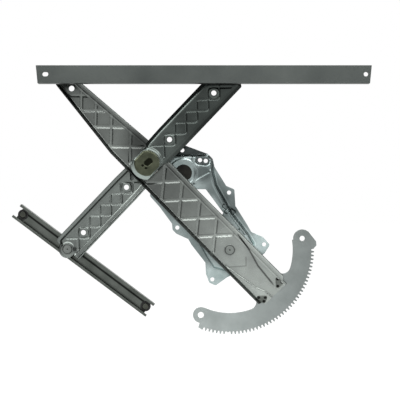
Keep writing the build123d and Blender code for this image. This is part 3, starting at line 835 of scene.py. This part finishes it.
@dataclass
class LowerCrossArm(CrossArm):
    """The half behind the lift arm, with its rims towards the viewer and a boss for its stud."""

    name: str = "cross_arm_lower_pressing"
    body: str = "cross"
    slot: str = "cross_lower"
    place: Place = Place.HUB
    angle: float = 226.4
    depth: float = 9.0
    side: Side = Side.BACK
    bead_depth: float = 1.5
    rim_run: float = 8.6
    wall_slope: tuple[float, float, float] = (1.6, 0.55, 1.5)
    foot_run: float = 2.4
    lip_start: float = 4.0
    lip_slope: float = 0.2
    curl: float = 3.2
    stud_boss: float = 1.2
    # Painted light along the lower rim; painted shade along the upper rim and beside the boss.
    painted_light_share: float = 0.3
    dark_painted_shade: float = 0.75

    def painted_shading(self, s: np.ndarray, t: np.ndarray) -> np.ndarray:
        """Painted shade along the upper rim's bend and edge, a painted shadow beside the boss, and painted
        light along the lower rim.

        Args:
            s: First coordinates.
            t: Second coordinates.

        Returns:
            The shares.
        """
        edge = self.edge(s, t)
        upper = smooth_step(0.0, 6.0, -t) * smooth_step(8.0, 20.0, s)
        bend = soft_fall(0.7, 1.9, np.abs(edge - 8.6))
        rim = 0.6 * soft_fall(1.8, 2.8, edge)
        shadow = soft_fall(2.5, 5.5, np.hypot(s - self.half_arm + 8.6, t - 9.0))
        light = smooth_step(0.0, 6.0, t) * soft_fall(9.0, 11.0, edge)
        return self.painted_light_share * light - self.dark_painted_shade * np.maximum(upper * np.maximum(bend, rim), shadow)

    def wall(self, s: np.ndarray, t: np.ndarray) -> np.ndarray:
        """Height of the rims: the upper one is steep with a lip, the lower one gentle with a curled edge.

        Args:
            s: First coordinates.
            t: Second coordinates.

        Returns:
            The heights.
        """
        edge = self.edge(s, t)
        past = self.rim_run + 0.4 - edge
        steep, gentle, curled = self.wall_slope
        upper = soft_least(steep * soft_ramp(past, 1.4), self.lip_start + self.lip_slope * past, 1.8)
        start = soft_ramp(past, 0.7)
        lower = gentle * (soft_ramp(past + self.foot_run, 0.7) - start) + self.lip_slope * start
        lower = lower + curled * soft_ramp(self.curl - edge, 0.6)
        return upper + (lower - upper) * smooth_step(-3.0, 3.0, t)

    def height(self, s: np.ndarray, t: np.ndarray) -> np.ndarray:
        """Front of the floor with the rims and a round boss at the end.

        Args:
            s: First coordinates.
            t: Second coordinates.

        Returns:
            The heights.
        """
        reach = np.hypot(s - self.half_arm, t)
        boss = self.stud_boss * soft_fall(11.0, 14.0, reach)
        clear = np.maximum(smooth_step(14.0, 17.0, reach), smooth_step(16.0, 18.0, np.abs(t)))
        fade = smooth_step(14.0, 24.0, s) * clear
        return self.sheet + self.wall(s, t) * fade + self.bumps(s, t) + boss


@dataclass
class BasePlate(PressedSheet):
    """The mounting plate: a flange with four ears round a raised middle with beads and openings."""

    name: str = "base_plate_pressing"
    body: str = "base"
    slot: str = "base_plate"
    place: Place = Place.ORIGIN
    angle: float = 0.0
    depth: float = 0.0
    side: Side = Side.FRONT
    step: float = 0.95
    rise: float = 8.0
    pan_run: float = 3.5
    outline: Points = listed(
        (-78.0, 163.0), (-62.0, 162.0), (-23.1, 147.6), (-14.2, 138.4), (-11.2, 124.2), (10.0, 90.0),
        (24.6, 84.0), (26.4, 54.2), (47.6, 20.4), (55.0, 7.4), (76.2, -2.0), (88.5, -16.0), (79.0, -31.0),
        (40.0, -62.0), (12.0, -74.0), (-9.0, -89.0), (-20.5, -84.0), (-26.5, -68.0), (-27.5, -48.0),
        (-52.4, -15.9), (-58.4, -5.6), (-79.5, 4.0), (-86.5, 11.0), (-87.5, 22.0), (-110.0, 52.5),
        (-127.3, 71.6), (-124.0, 98.0), (-116.0, 116.0), (-113.5, 126.0), (-112.0, 140.0), (-94.0, 151.0),
    )
    pan: Points = listed(
        (-97.0, 143.5), (-80.0, 144.5), (-23.0, 145.6), (-15.6, 137.8), (-15.4, 124.0), (-8.0, 92.0),
        (20.0, 42.0), (50.0, 3.0), (60.0, -14.0), (54.0, -36.0), (8.0, -62.0), (-12.0, -56.0),
        (-24.0, -38.0), (-42.0, -6.0), (-58.0, 22.0), (-84.0, 36.0), (-119.0, 74.0), (-117.0, 98.0),
        (-112.0, 116.0), (-110.5, 135.0),
    )
    window: Points = listed(
        (-50.0, 84.0), (-27.0, 84.0), (4.5, 42.0), (-2.0, 30.0), (-42.0, 40.0), (-62.0, 62.0),
    )
    holes: list[tuple[float, float, float]] = listed(
        (-69.1, 154.2, 3.75), (-26.9, 134.8, 3.75), (-66.7, 113.1, 15.0), (15.7, -24.2, 6.0),
        (78.07, -15.03, 3.75), (15.03, 78.07, 3.75), (-78.07, 15.03, 3.75), (-15.03, -78.07, 3.75),
        (-37.23, 136.13, 3.75), (-101.38, 127.11, 3.75), (-61.5, 76.06, 3.75),
    )
    edge_rib: Points = listed((-18.0, 116.0), (-6.0, 84.0), (22.0, 34.0), (44.0, 6.0))
    cross_rib: Points = listed((-47.0, 96.0), (-19.0, 111.5))
    pocket_line: Points = listed((-38.0, 136.0), (-26.9, 134.8))
    slot_line: Points = listed((6.0, 54.0), (23.0, 43.0))
    tab_line: Points = listed((10.0, 44.0), (16.0, 48.5))
    drain: tuple[float, float, float] = (32.2, 11.3, 2.4)
    drain_depth: float = 1.2
    ring_radius: float = 23.0
    rib_height: float = 1.1
    lip_height: float = 1.0
    pocket_reach: float = 11.5
    pocket_depth: float = 1.8
    slot_depth: float = 2.6
    tab_height: float = 3.0
    # Painted shade in the pocket, on the top flange and in the dimple; painted highlights in lines and by the
    # window.
    pocket_painted_shade: float = 0.7
    flange_painted_shade: float = 0.82
    line_painted_light: float = 0.7
    window_painted_light: float = 0.4
    drain_painted_shade: float = 0.85
    # Round spots of painted shade, and on two ears of painted light: place, reach and how much darker, below
    # nought for lighter.
    painted_patches: list[tuple[tuple[float, float], float, float]] = listed(
        ((-32.0, 113.0), 16.0, 0.6), ((-8.0, 84.0), 26.0, 0.4), ((20.0, 56.0), 26.0, 0.5),
        ((74.0, -10.0), 20.0, -1.1), ((-10.0, -74.0), 24.0, -0.8),
    )

    def grid(self) -> tuple[np.ndarray, np.ndarray]:
        """An even grid over the whole plate.

        Returns:
            The coordinates along the first axis and along the second.
        """
        low, high = np.min(self.outline, axis=0) - 2.0, np.max(self.outline, axis=0) + 2.0
        s = np.arange(low[0], high[0], self.step)
        t = np.arange(low[1], high[1], self.step)
        return tuple(part.copy() for part in np.meshgrid(s, t, indexing="ij"))

    def inside(self, s: np.ndarray, t: np.ndarray) -> np.ndarray:
        """Distance inside the plate's edge, its window and its holes.

        Args:
            s: First coordinates.
            t: Second coordinates.

        Returns:
            The signed distances.
        """
        distance = rounded_distance(self.outline, 4.0, s, t)
        distance = np.minimum(distance, -inside_distance(self.window, s, t))
        return clear_of(self.holes, distance, s, t)

    def height(self, s: np.ndarray, t: np.ndarray) -> np.ndarray:
        """Back of the flange, raised to the pan inside its outline, with round and long ribs on it.

        Args:
            s: First coordinates.
            t: Second coordinates.

        Returns:
            The heights.
        """
        pan = rounded_distance(self.pan, 5.0, s, t)
        raised = self.rise * smooth_step(-1.0, self.pan_run + 1.0, pan)
        ring = np.abs(np.hypot(s - Place.DRIVE.value[0], t - Place.DRIVE.value[1]) - self.ring_radius)
        pocket = line_distance(self.pocket_line, s, t)
        ribs = [line_distance(line, s, t) for line in (self.edge_rib, self.cross_rib)]
        nearest = np.min([ring, *ribs, np.abs(pocket - self.pocket_reach)], axis=0)
        rib = self.rib_height * groove(nearest, 3.4, 2.6) * smooth_step(2.0, 5.0, pan)
        sunk = self.pocket_depth * soft_fall(6.5, 9.5, pocket)
        window = -rounded_distance(self.window, 5.0, s, t)
        right = smooth_step(30.0, 44.0, 0.6 * s + 0.8 * t)
        lip = self.lip_height * soft_fall(0.0, 9.0, window) * right
        slot = self.slot_depth * soft_fall(3.0, 5.5, line_distance(self.slot_line, s, t))
        tab = self.tab_height * soft_fall(1.6, 2.8, line_distance(self.tab_line, s, t))
        return raised + rib - sunk + lip - slot + tab - self.drain_depth * self.drain_share(s, t)

    def drain_share(self, s: np.ndarray, t: np.ndarray) -> np.ndarray:
        """Share of the full depth of the small dimple in the plate, which also sets its painted shade."""
        x, z, radius = self.drain
        return soft_fall(radius - 1.2, radius, np.hypot(s - x, t - z))

    def painted_shading(self, s: np.ndarray, t: np.ndarray) -> np.ndarray:
        """Painted shade in the pocket, the dimple, on the top flange and in a few round spots, painted light
        on two ears, and painted highlights in lines and by the window near the pan's right edge.

        Args:
            s: First coordinates.
            t: Second coordinates.

        Returns:
            The shares.
        """
        inside = rounded_distance(self.pan, 5.0, s, t)
        pan = smooth_step(-2.0, 2.0, inside)
        pocket = soft_fall(6.0, 9.0, line_distance(self.pocket_line, s, t))
        flange = (1.0 - pan) * smooth_step(110.0, 140.0, t)
        share = (1.0 - self.pocket_painted_shade * pocket) * (1.0 - self.flange_painted_shade * flange)
        # Painted shade and light in round spots.
        for (x, z), reach, depth in self.painted_patches:
            patch = soft_fall(0.5 * reach, 1.4 * reach, np.hypot(s - x, t - z))
            share = share * (1.0 - depth * patch)
        # Painted highlights near the pan's right edge.
        right = smooth_step(-22.0, -12.0, s) * smooth_step(-30.0, -5.0, t)
        right = right * soft_fall(108.0, 126.0, t)
        lines = np.minimum(np.abs(inside + 2.4), np.abs(inside - 6.2))
        share = share * (1.0 + self.line_painted_light * right * soft_fall(0.7, 1.7, lines))
        window = -rounded_distance(self.window, 5.0, s, t)
        share = share * (1.0 + self.window_painted_light * right * soft_fall(3.5, 6.5, window))
        return share * (1.0 - self.drain_painted_shade * self.drain_share(s, t)) - 1.0


@dataclass
class StampedHead(PressedSheet):
    """A solid head with a flat back, pits darkened by painted shade, and a soft edge."""

    step: float = 0.45
    reach: float = 10.0
    thickness: float = 2.0
    edge_fall: float = 0.4
    edge_width: float = 1.2
    pit_depth: float = 0.8
    centre: tuple[float, float] = (0.0, 0.0)
    pits: list[tuple[float, float, float, float]] = listed()
    # Painted shade in the pits and an even painted light over the rest of the head.
    pit_painted_shade: float = -0.85
    plain_painted_light: float = 0.0

    def grid(self) -> tuple[np.ndarray, np.ndarray]:
        """An even square grid about the head's centre.

        Returns:
            The coordinates along the first axis and along the second.
        """
        line = np.arange(-self.reach - 1.0, self.reach + 1.0 + self.step, self.step)
        s, t = np.meshgrid(line + self.centre[0], line + self.centre[1], indexing="ij")
        return s.copy(), t.copy()

    def backing(self, first: np.ndarray, normal: np.ndarray) -> np.ndarray:
        """The flat back, in the head's own plane."""
        return first * np.array([1.0, 1.0, 0.0])

    def back_normal(self, normal: np.ndarray) -> np.ndarray:
        """Straight away from the viewer."""
        return np.tile([0.0, 0.0, -1.0], (len(normal), 1))

    def inside(self, s: np.ndarray, t: np.ndarray) -> np.ndarray:
        """Distance inside the round edge."""
        return self.reach - np.hypot(s - self.centre[0], t - self.centre[1])

    def pit(self, s: np.ndarray, t: np.ndarray) -> np.ndarray:
        """Share of the full depth of the deepest pit: round, or a ring where its fourth number isn't nought.

        Args:
            s: First coordinates.
            t: Second coordinates.

        Returns:
            The shares of the full depth.
        """
        share = np.zeros_like(s)
        for at, side, radius, width in self.pits:
            distance = np.abs(np.hypot(s - at, t - side) - width) if width else np.hypot(s - at, t - side)
            share = np.maximum(share, soft_fall(radius - 0.9, radius, distance))
        return share

    def height(self, s: np.ndarray, t: np.ndarray) -> np.ndarray:
        """Flat top with a soft edge and sunk pits."""
        edge = self.edge_fall * soft_fall(0.0, self.edge_width, self.inside(s, t))
        return self.thickness - edge - self.pit_depth * self.pit(s, t)

    def painted_shading(self, s: np.ndarray, t: np.ndarray) -> np.ndarray:
        """Painted shade in the pits, and an even painted light over the rest where one is given."""
        return self.plain_painted_light + (self.pit_painted_shade - self.plain_painted_light) * self.pit(s, t)


@dataclass
class HubCap(StampedHead):
    """The cap on the hub: a disc with two flats, a low crown, a deep punched recess and two dots."""

    name: str = "hub_cap_pressing"
    body: str = "cross"
    slot: str = "hub_cap"
    place: Place = Place.HUB
    angle: float = 46.4
    depth: float = -38.5
    reach: float = 22.5
    flats: float = 19.5
    thickness: float = 2.5
    edge_fall: float = 1.3
    edge_width: float = 3.0
    # The recess and the two dots are darkened by painted shade.
    recess: Points = listed((5.6, -0.9), (0.6, -0.3))
    recess_reach: float = 6.6
    pits: list[tuple[float, float, float, float]] = listed((-8.1, 2.4, 2.6, 0.0), (-7.5, -5.1, 2.6, 0.0))

    def inside(self, s: np.ndarray, t: np.ndarray) -> np.ndarray:
        """Distance inside the disc and its two flats."""
        return np.minimum(self.reach - np.hypot(s, t), self.flats - np.abs(t))

    def pit(self, s: np.ndarray, t: np.ndarray) -> np.ndarray:
        """The recess and the dots.

        Args:
            s: First coordinates.
            t: Second coordinates.

        Returns:
            The shares of the full depth.
        """
        distance = line_distance(self.recess, s, t)
        recess = soft_fall(self.recess_reach - 2.0, self.recess_reach, distance)
        return np.maximum(super().pit(s, t), recess)


@dataclass
class ClinchHead(StampedHead):
    """A clinched joint: a rounded triangle with a punched dot at each corner, darkened by painted shade."""

    body: str = "lift"
    slot: str = "clinch"
    place: Place = Place.PIVOT
    angle: float = 133.6
    depth: float = -12.95
    reach: float = 13.0
    thickness: float = 7.5
    edge_fall: float = 0.7
    round_edge: float = 3.6
    dot_radius: float = 2.9
    dots: Points = listed()

    def __post_init__(self) -> None:
        """Puts a pit at each dot and the grid about their middle."""
        turn = math.radians(self.angle)
        x, z = np.transpose(np.array(self.dots) - self.place.value)
        along = x * math.cos(turn) + z * math.sin(turn)
        left = z * math.cos(turn) - x * math.sin(turn)
        self.dots = list(zip(along, left))
        self.centre = (along.mean(), left.mean())
        self.pits = [(at, side, self.dot_radius, 0.0) for at, side in self.dots]

    def inside(self, s: np.ndarray, t: np.ndarray) -> np.ndarray:
        """Distance inside the rounded triangle."""
        return self.round_edge + inside_distance(self.dots, s, t)


def arithmetic(tree: Tree, operation: str, *values: float | Socket) -> Socket:
    """Adds one step of arithmetic to a node tree.

    Args:
        tree: Node tree to add to.
        operation: Name of the arithmetic.
        values: The numbers, or the sockets that give them, in order.

    Returns:
        The socket with the result.
    """
    node = tree.nodes.new("ShaderNodeMath")
    node.operation = operation
    for value, socket in zip(values, node.inputs):
        if isinstance(value, Socket):
            tree.links.new(value, socket)
        else:
            socket.default_value = value
    return node.outputs[0]


def rescaled(tree: Tree, value: Socket, *ends: float) -> Socket:
    """Turns one range of values evenly into another, and holds it at the ends.

    Args:
        tree: Node tree to add to.
        value: Socket with the value.
        ends: Start and end of the first range, then start and end of the second.

    Returns:
        The socket with the result.
    """
    node = tree.nodes.new("ShaderNodeMapRange")
    tree.links.new(value, node.inputs["Value"])
    for name, end in zip(("From Min", "From Max", "To Min", "To Max"), ends):
        node.inputs[name].default_value = end
    return node.outputs["Result"]


def coordinate(tree: Tree, place: Socket, axis: str) -> Socket:
    """Adds the split of a place into its coordinates.

    Args:
        tree: Node tree to add to.
        place: Socket with the place.
        axis: X, Y or Z.

    Returns:
        The socket with the coordinate along that axis.
    """
    split = tree.nodes.new("ShaderNodeSeparateXYZ")
    tree.links.new(place, split.inputs["Vector"])
    return split.outputs[axis]


@dataclass(frozen=True)
class PaintedShadowStripe:
    """A painted shadow: a dark straight band on one level of a piece, where |x a + z b - middle| is small, in
    metres.
    """

    across: tuple[float, float]
    middle: float
    half_width: float
    level: float
    softness: float = 1.7
    darkest: float = 0.12
    level_reach: float = 0.001

    def share(self, tree: Tree, place: Socket) -> Socket:
        """Builds the share of light that the painted shadow leaves: all of it beside the line and on other
        levels.

        Args:
            tree: Node tree of the material.
            place: Socket with the coordinates.

        Returns:
            The socket with the share.
        """
        along = tree.nodes.new("ShaderNodeVectorMath")
        along.operation = "DOT_PRODUCT"
        along.inputs[1].default_value = (self.across[0], 0.0, self.across[1])
        tree.links.new(place, along.inputs[0])
        offset = arithmetic(tree, "SUBTRACT", along.outputs["Value"], self.middle)
        distance = arithmetic(tree, "ABSOLUTE", offset)
        beside = rescaled(tree, distance, self.half_width, self.softness * self.half_width, self.darkest, 1.0)
        away = arithmetic(tree, "SUBTRACT", coordinate(tree, place, "Y"), self.level)
        other_level = arithmetic(tree, "GREATER_THAN", arithmetic(tree, "ABSOLUTE", away), self.level_reach)
        return arithmetic(tree, "MAXIMUM", beside, other_level)


@dataclass(frozen=True)
class Finish:
    """A plated steel or plastic surface: cloudy tints, fine speckle and a slight unevenness."""

    name: str
    dark: Colour
    light: Colour
    metallic: float = 1.0
    roughness: float = 0.32
    roughness_spread: float = 0.08
    cloud_size: float = 0.03
    fine_scale: float = 900.0
    speckle: float = 0.12
    tint_range: tuple[float, float] = (0.36, 0.74)
    unevenness: float = 0.06
    uneven_depth: float = 0.0004
    worn_radius: float = 0.0009
    # Painted shade in creases and hollows, from the surface's own occlusion within a reach.
    hollow_reach: float = 0.009
    hollow_start: float = 0.35
    crease_painted_shade: float = 0.3
    # Painted light: the colour fades along X, lighter at one end than the other.
    fade: tuple[float, float, float, float] | None = None
    # Painted shadow under a fold, on one level of the piece.
    painted_shadow_stripe: PaintedShadowStripe | None = None

    def material(self) -> bpy.types.Material:
        """Builds the finish from noise on Object coordinates.

        The colour is a blend of the two tints by a cloudy noise with a finer one added, the
        roughness follows the cloudy noise, the bump follows the fine one, and edges look worn
        round by a small bevel of the normals.

        Returns:
            The material.
        """
        made = bpy.data.materials.new(self.name)
        made.use_nodes = True
        tree = made.node_tree
        shader = tree.nodes["Principled BSDF"]
        shader.inputs["Metallic"].default_value = self.metallic
        place = tree.nodes.new("ShaderNodeTexCoord").outputs["Object"]
        cloud = self.noise(tree, place, 1.0 / self.cloud_size, 4.0)
        fine = self.noise(tree, place, self.fine_scale, 3.0)
        ramp = tree.nodes.new("ShaderNodeValToRGB")
        tints = zip(ramp.color_ramp.elements, self.tint_range, (self.dark, self.light))
        for element, position, tint in tints:
            element.position = position
            element.color = (*tint, 1.0)
        tree.links.new(arithmetic(tree, "MULTIPLY_ADD", fine, self.speckle, cloud), ramp.inputs["Fac"])
        tinted = tree.nodes.new("ShaderNodeVectorMath")
        tinted.operation = "SCALE"
        tree.links.new(ramp.outputs["Color"], tinted.inputs[0])
        tree.links.new(self.shade(tree, place), tinted.inputs["Scale"])
        tree.links.new(tinted.outputs[0], shader.inputs["Base Color"])
        low, high = self.roughness - self.roughness_spread, self.roughness + self.roughness_spread
        tree.links.new(rescaled(tree, cloud, 0.0, 1.0, low, high), shader.inputs["Roughness"])
        bump = tree.nodes.new("ShaderNodeBump")
        bump.inputs["Strength"].default_value = self.unevenness
        bump.inputs["Distance"].default_value = self.uneven_depth
        tree.links.new(fine, bump.inputs["Height"])
        worn = tree.nodes.new("ShaderNodeBevel")
        worn.samples = 4
        worn.inputs["Radius"].default_value = self.worn_radius
        tree.links.new(worn.outputs["Normal"], bump.inputs["Normal"])
        tree.links.new(bump.outputs["Normal"], shader.inputs["Normal"])
        return made

    def shade(self, tree: Tree, place: Socket) -> Socket:
        """Works out the painted light and shade: each vertex's own painted share, painted shade in creases and
        a painted shadow under folds.

        The share is one plus the vertex's painted share, times a ramp from the darkest painted shade in
        creases to 1 as the open part of the surface's own surroundings goes from hollow_start to all of them,
        times the painted shadow line and a painted light fade along X.

        Args:
            tree: Node tree of the material.
            place: Socket with the coordinates.

        Returns:
            The socket with the share.
        """
        # Painted light and shade carried by each vertex.
        painted_shading = tree.nodes.new("ShaderNodeAttribute")
        painted_shading.attribute_name = "painted_shading"
        lighter = arithmetic(tree, "ADD", painted_shading.outputs["Fac"], 1.0)
        # Painted shade in creases and hollows, from the surface's own occlusion.
        hollow = tree.nodes.new("ShaderNodeAmbientOcclusion")
        hollow.samples = 8
        hollow.only_local = True
        hollow.inputs["Distance"].default_value = self.hollow_reach
        opened = rescaled(tree, hollow.outputs["AO"], self.hollow_start, 1.0, self.crease_painted_shade, 1.0)
        share = arithmetic(tree, "MULTIPLY", lighter, opened)
        # Painted shadow under a fold.
        if self.painted_shadow_stripe:
            share = arithmetic(tree, "MULTIPLY", share, self.painted_shadow_stripe.share(tree, place))
        # Painted light: a fade of the colour along X.
        if self.fade:
            across = rescaled(tree, coordinate(tree, place, "X"), *self.fade)
            share = arithmetic(tree, "MULTIPLY", share, across)
        return share

    def noise(self, tree: Tree, place: Socket, scale: float, detail: float) -> Socket:
        """Adds a noise read at a place.

        Args:
            tree: Node tree of the material.
            place: Socket with the place.
            scale: Number of noise cells to a metre.
            detail: Number of finer layers.

        Returns:
            The socket with the noise.
        """
        made = tree.nodes.new("ShaderNodeTexNoise")
        made.inputs["Scale"].default_value = scale
        made.inputs["Detail"].default_value = detail
        tree.links.new(place, made.inputs["Vector"])
        return made.outputs["Fac"]


FINISHES: dict[str, Finish] = {
    "base_plate": Finish("zinc_plate", (0.22, 0.27, 0.265), (0.36, 0.42, 0.415), roughness=0.26),
    "rivet_steel": Finish("zinc_rivet", (0.16, 0.175, 0.165), (0.26, 0.28, 0.265)),
    "lift_arm": Finish("zinc_lift_arm", (0.185, 0.2, 0.19), (0.235, 0.256, 0.24), roughness=0.26),
    "nylon": Finish("natural_nylon", (0.55, 0.54, 0.49), (0.68, 0.67, 0.62), metallic=0.0, roughness=0.5),
    # The sector gets a painted light fade: lighter towards smaller X, darker towards larger X.
    "sector": Finish(
        "zinc_sector", (0.32, 0.355, 0.345), (0.40, 0.44, 0.43), roughness=0.4, fade=(0.16, 0.02, 0.72, 1.16)
    ),
    "clinch": Finish("punched_steel", (0.06, 0.065, 0.06), (0.11, 0.12, 0.11)),
    "cross_upper": Finish("zinc_upper_arm", (0.04, 0.046, 0.043), (0.06, 0.07, 0.065), roughness=0.26),
    "cross_lower": Finish("zinc_lower_arm", (0.165, 0.182, 0.172), (0.225, 0.25, 0.235), roughness=0.26),
    "hub_cap": Finish(
        "yellow_zinc", (0.055, 0.062, 0.042), (0.105, 0.115, 0.078), roughness=0.3, cloud_size=0.015
    ),
    "hub_rivet": Finish("dark_rivet", (0.01, 0.01, 0.01), (0.035, 0.035, 0.03)),
    "sash": Finish(
        "zinc_channel", (0.07, 0.079, 0.076), (0.115, 0.127, 0.12), roughness=0.4, cloud_size=0.12
    ),
    # The rail: a painted shadow under its upper lip, and milder painted shade in its creases.
    "rail": Finish(
        "zinc_rail", (0.10, 0.112, 0.10), (0.16, 0.175, 0.16), roughness=0.3, crease_painted_shade=0.75,
        painted_shadow_stripe=PaintedShadowStripe(across=(0.599, 0.801), middle=-0.1805, half_width=0.0013, level=0.0217),
    ),
    "bolt": Finish("zinc_bolt", (0.05, 0.055, 0.047), (0.105, 0.11, 0.094), roughness=0.28),
    "dark_washer": Finish(
        "dark_rubber", (0.012, 0.012, 0.012), (0.03, 0.03, 0.03), metallic=0.0, roughness=0.6
    ),
}


@dataclass
class Studio:
    """Camera, lamps, floor and backdrop. The camera looks along Y from the photograph's place."""

    centre: tuple[float, float] = (-0.0372, 0.0647)
    plane: float = -0.017
    distance: float = 1.5
    frame_width: float = 0.712
    floor_level: float = -0.32
    side_level: float = 0.15
    side_tilt: float = 0.1
    front_level: float = 1.05
    floor_reach: float = 12.0
    floor_tint: float = 0.86
    floor_glow: float = 1.22
    glow_share: float = 0.8
    glossy_share: float = 0.5

    def build(self) -> None:
        """Makes the camera, the light and the floor."""
        scene = bpy.context.scene
        scene.view_settings.view_transform = "Standard"
        camera = bpy.data.cameras.new("camera")
        camera.sensor_width = 36.0
        camera.lens = 36.0 * self.distance / self.frame_width
        camera.clip_start, camera.clip_end = 0.05, 60.0
        holder = bpy.data.objects.new("camera", camera)
        holder.location = (self.centre[0], self.plane - self.distance, self.centre[1])
        holder.rotation_euler = (math.pi / 2.0, 0.0, 0.0)
        scene.collection.objects.link(holder)
        scene.camera = holder
        self.lamp("key", (-0.25, -1.25, 1.35), (3.4, 0.7), 31.0)
        self.lamp("side", (1.7, -1.5, 0.2), (0.5, 1.4), 3.6)
        self.lamp("rear", (0.0, 1.3, 1.4), (1.6, 0.7), 20.0)
        self.world()
        self.floor()

    def lamp(self, name: str, place: Colour, size: tuple[float, float], power: float) -> None:
        """Adds a wide soft lamp that faces the middle of the object.

        Args:
            name: Name of the lamp.
            place: Where it stands, in metres.
            size: Its width and its height.
            power: Its power in watts.
        """
        light = bpy.data.lights.new(name, "AREA")
        light.shape = "RECTANGLE"
        light.size, light.size_y = size
        light.energy = power
        holder = bpy.data.objects.new(name, light)
        holder.location = place
        aim = Vector((self.centre[0], 0.0, self.centre[1])) - Vector(place)
        holder.rotation_euler = aim.to_track_quat("-Z", "Y").to_euler()
        bpy.context.scene.collection.objects.link(holder)

    def world(self) -> None:
        """A pale studio: brighter before and behind the object, dimmer beside it, white for the camera.

        The level is side + tilt x + (front - side) |y|^4 for a direction (x, y, z), and 1 for a camera ray.
        """
        world = bpy.data.worlds.new("studio")
        world.use_nodes = True
        bpy.context.scene.world = world
        tree = world.node_tree
        background = tree.nodes["Background"]
        background.inputs["Color"].default_value = (1.0, 1.0, 1.0, 1.0)
        direction = tree.nodes.new("ShaderNodeTexCoord").outputs["Generated"]
        depth = arithmetic(tree, "ABSOLUTE", coordinate(tree, direction, "Y"))
        power = arithmetic(tree, "POWER", depth, 4.0)
        spread = arithmetic(tree, "MULTIPLY_ADD", power, self.front_level - self.side_level, self.side_level)
        level = arithmetic(tree, "MULTIPLY_ADD", coordinate(tree, direction, "X"), self.side_tilt, spread)
        rays = tree.nodes.new("ShaderNodeLightPath")
        mixed = tree.nodes.new("ShaderNodeMix")
        mixed.inputs["B"].default_value = 1.0
        tree.links.new(rays.outputs["Is Camera Ray"], mixed.inputs["Factor"])
        tree.links.new(level, mixed.inputs["A"])
        tree.links.new(mixed.outputs["Result"], background.inputs["Strength"])

    def floor(self) -> None:
        """A wide pale floor below the object.

        Its own light is mixed in by glow_share times (camera ray + glossy_share times glossy ray).
        """
        reach = self.floor_reach
        signs = ((-1.0, -1.0), (1.0, -1.0), (1.0, 1.0), (-1.0, 1.0))
        corners = [(reach * x, reach * y, self.floor_level) for x, y in signs]
        mesh = bpy.data.meshes.new("floor")
        mesh.from_pydata(corners, [], [(0, 1, 2, 3)])
        plane = bpy.data.objects.new("floor", mesh)
        bpy.context.scene.collection.objects.link(plane)
        pale = bpy.data.materials.new("pale_floor")
        pale.use_nodes = True
        tree = pale.node_tree
        shader = tree.nodes["Principled BSDF"]
        shader.inputs["Base Color"].default_value = (self.floor_tint, self.floor_tint, self.floor_tint, 1.0)
        shader.inputs["Roughness"].default_value = 0.9
        glow = tree.nodes.new("ShaderNodeEmission")
        glow.inputs["Strength"].default_value = self.floor_glow
        mix = tree.nodes.new("ShaderNodeMixShader")
        rays = tree.nodes.new("ShaderNodeLightPath").outputs
        glossy, camera = rays["Is Glossy Ray"], rays["Is Camera Ray"]
        seen = arithmetic(tree, "MULTIPLY_ADD", glossy, self.glossy_share, camera)
        tree.links.new(arithmetic(tree, "MULTIPLY", seen, self.glow_share), mix.inputs["Fac"])
        tree.links.new(shader.outputs["BSDF"], mix.inputs[1])
        tree.links.new(glow.outputs["Emission"], mix.inputs[2])
        tree.links.new(mix.outputs["Shader"], tree.nodes["Material Output"].inputs["Surface"])
        plane.data.materials.append(pale)


def dress(piece: bpy.types.Object, material: bpy.types.Material) -> None:
    """Gives a piece one material in all its slots.

    Args:
        piece: The object.
        material: Its material.
    """
    piece.data.materials.clear()
    piece.data.materials.append(material)


def main() -> None:
    """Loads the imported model, builds the pressings, dresses every piece and sets up the studio."""
    logging.basicConfig(level=logging.INFO, format="%(message)s")
    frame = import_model()
    materials = {slot: finish.material() for slot, finish in FINISHES.items()}
    for part in frame["record"]["subparts"]:
        dress(frame["nodes"][part["node"]], materials[part["material_slot"]])
        log.info("%s: %s", part["node"], part["material_slot"])
    right_dots = [(100.6, -75.9), (100.9, -88.2), (108.2, -81.6)]
    left_dots = [(67.1, -108.7), (76.2, -115.1), (78.7, -108.7)]
    # A dimple and a ring groove, darkened by painted shade on the heads that use them.
    ring = [(0.0, 0.0, 1.7, 0.0), (0.0, 0.0, 1.0, 8.2)]
    pressings: list[tuple[PressedSheet, list[str]]] = [
        (LiftArm(), ["lift_arm"]),
        (UpperCrossArm(), ["cross_arm_upper"]),
        (LowerCrossArm(), ["cross_arm_lower"]),
        (BasePlate(), ["base_plate"]),
        (HubCap(), ["hub_cap", "hub_rivet"]),
        # The two clinch heads get different amounts of even painted light.
        (ClinchHead("right_clinch", dots=right_dots, plain_painted_light=0.9), ["sector_rivet_2"]),
        (ClinchHead("left_clinch", dots=left_dots, plain_painted_light=0.5), ["sector_rivet_1"]),
        # The pivot head: even painted light over it and painted shade in its ring and dimple.
        (
            StampedHead(
                "pivot_head", "base", "rivet_steel", Place.PIVOT, angle=0.0, depth=-18.04, thickness=2.9,
                reach=10.05, pits=ring, pit_painted_shade=-0.6, plain_painted_light=0.45,
            ),
            [],
        ),
        (
            StampedHead(
                "drive_cover", "base", "hub_rivet", Place.DRIVE, angle=0.0, depth=-6.4, thickness=1.55,
                reach=17.0,
            ),
            [],
        ),
        (
            StampedHead(
                "stud_head", "cross", "rivet_steel", Place.LOWER_END, angle=0.0, depth=5.82, thickness=2.5,
                reach=10.05, pits=ring,
            ),
            [],
        ),
    ]
    for pressing, nodes in pressings:
        piece = pressing.build()
        if nodes:
            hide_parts(*nodes)
        dress(piece, materials[pressing.slot])
    Studio().build()


if __name__ == "__main__":
    main()
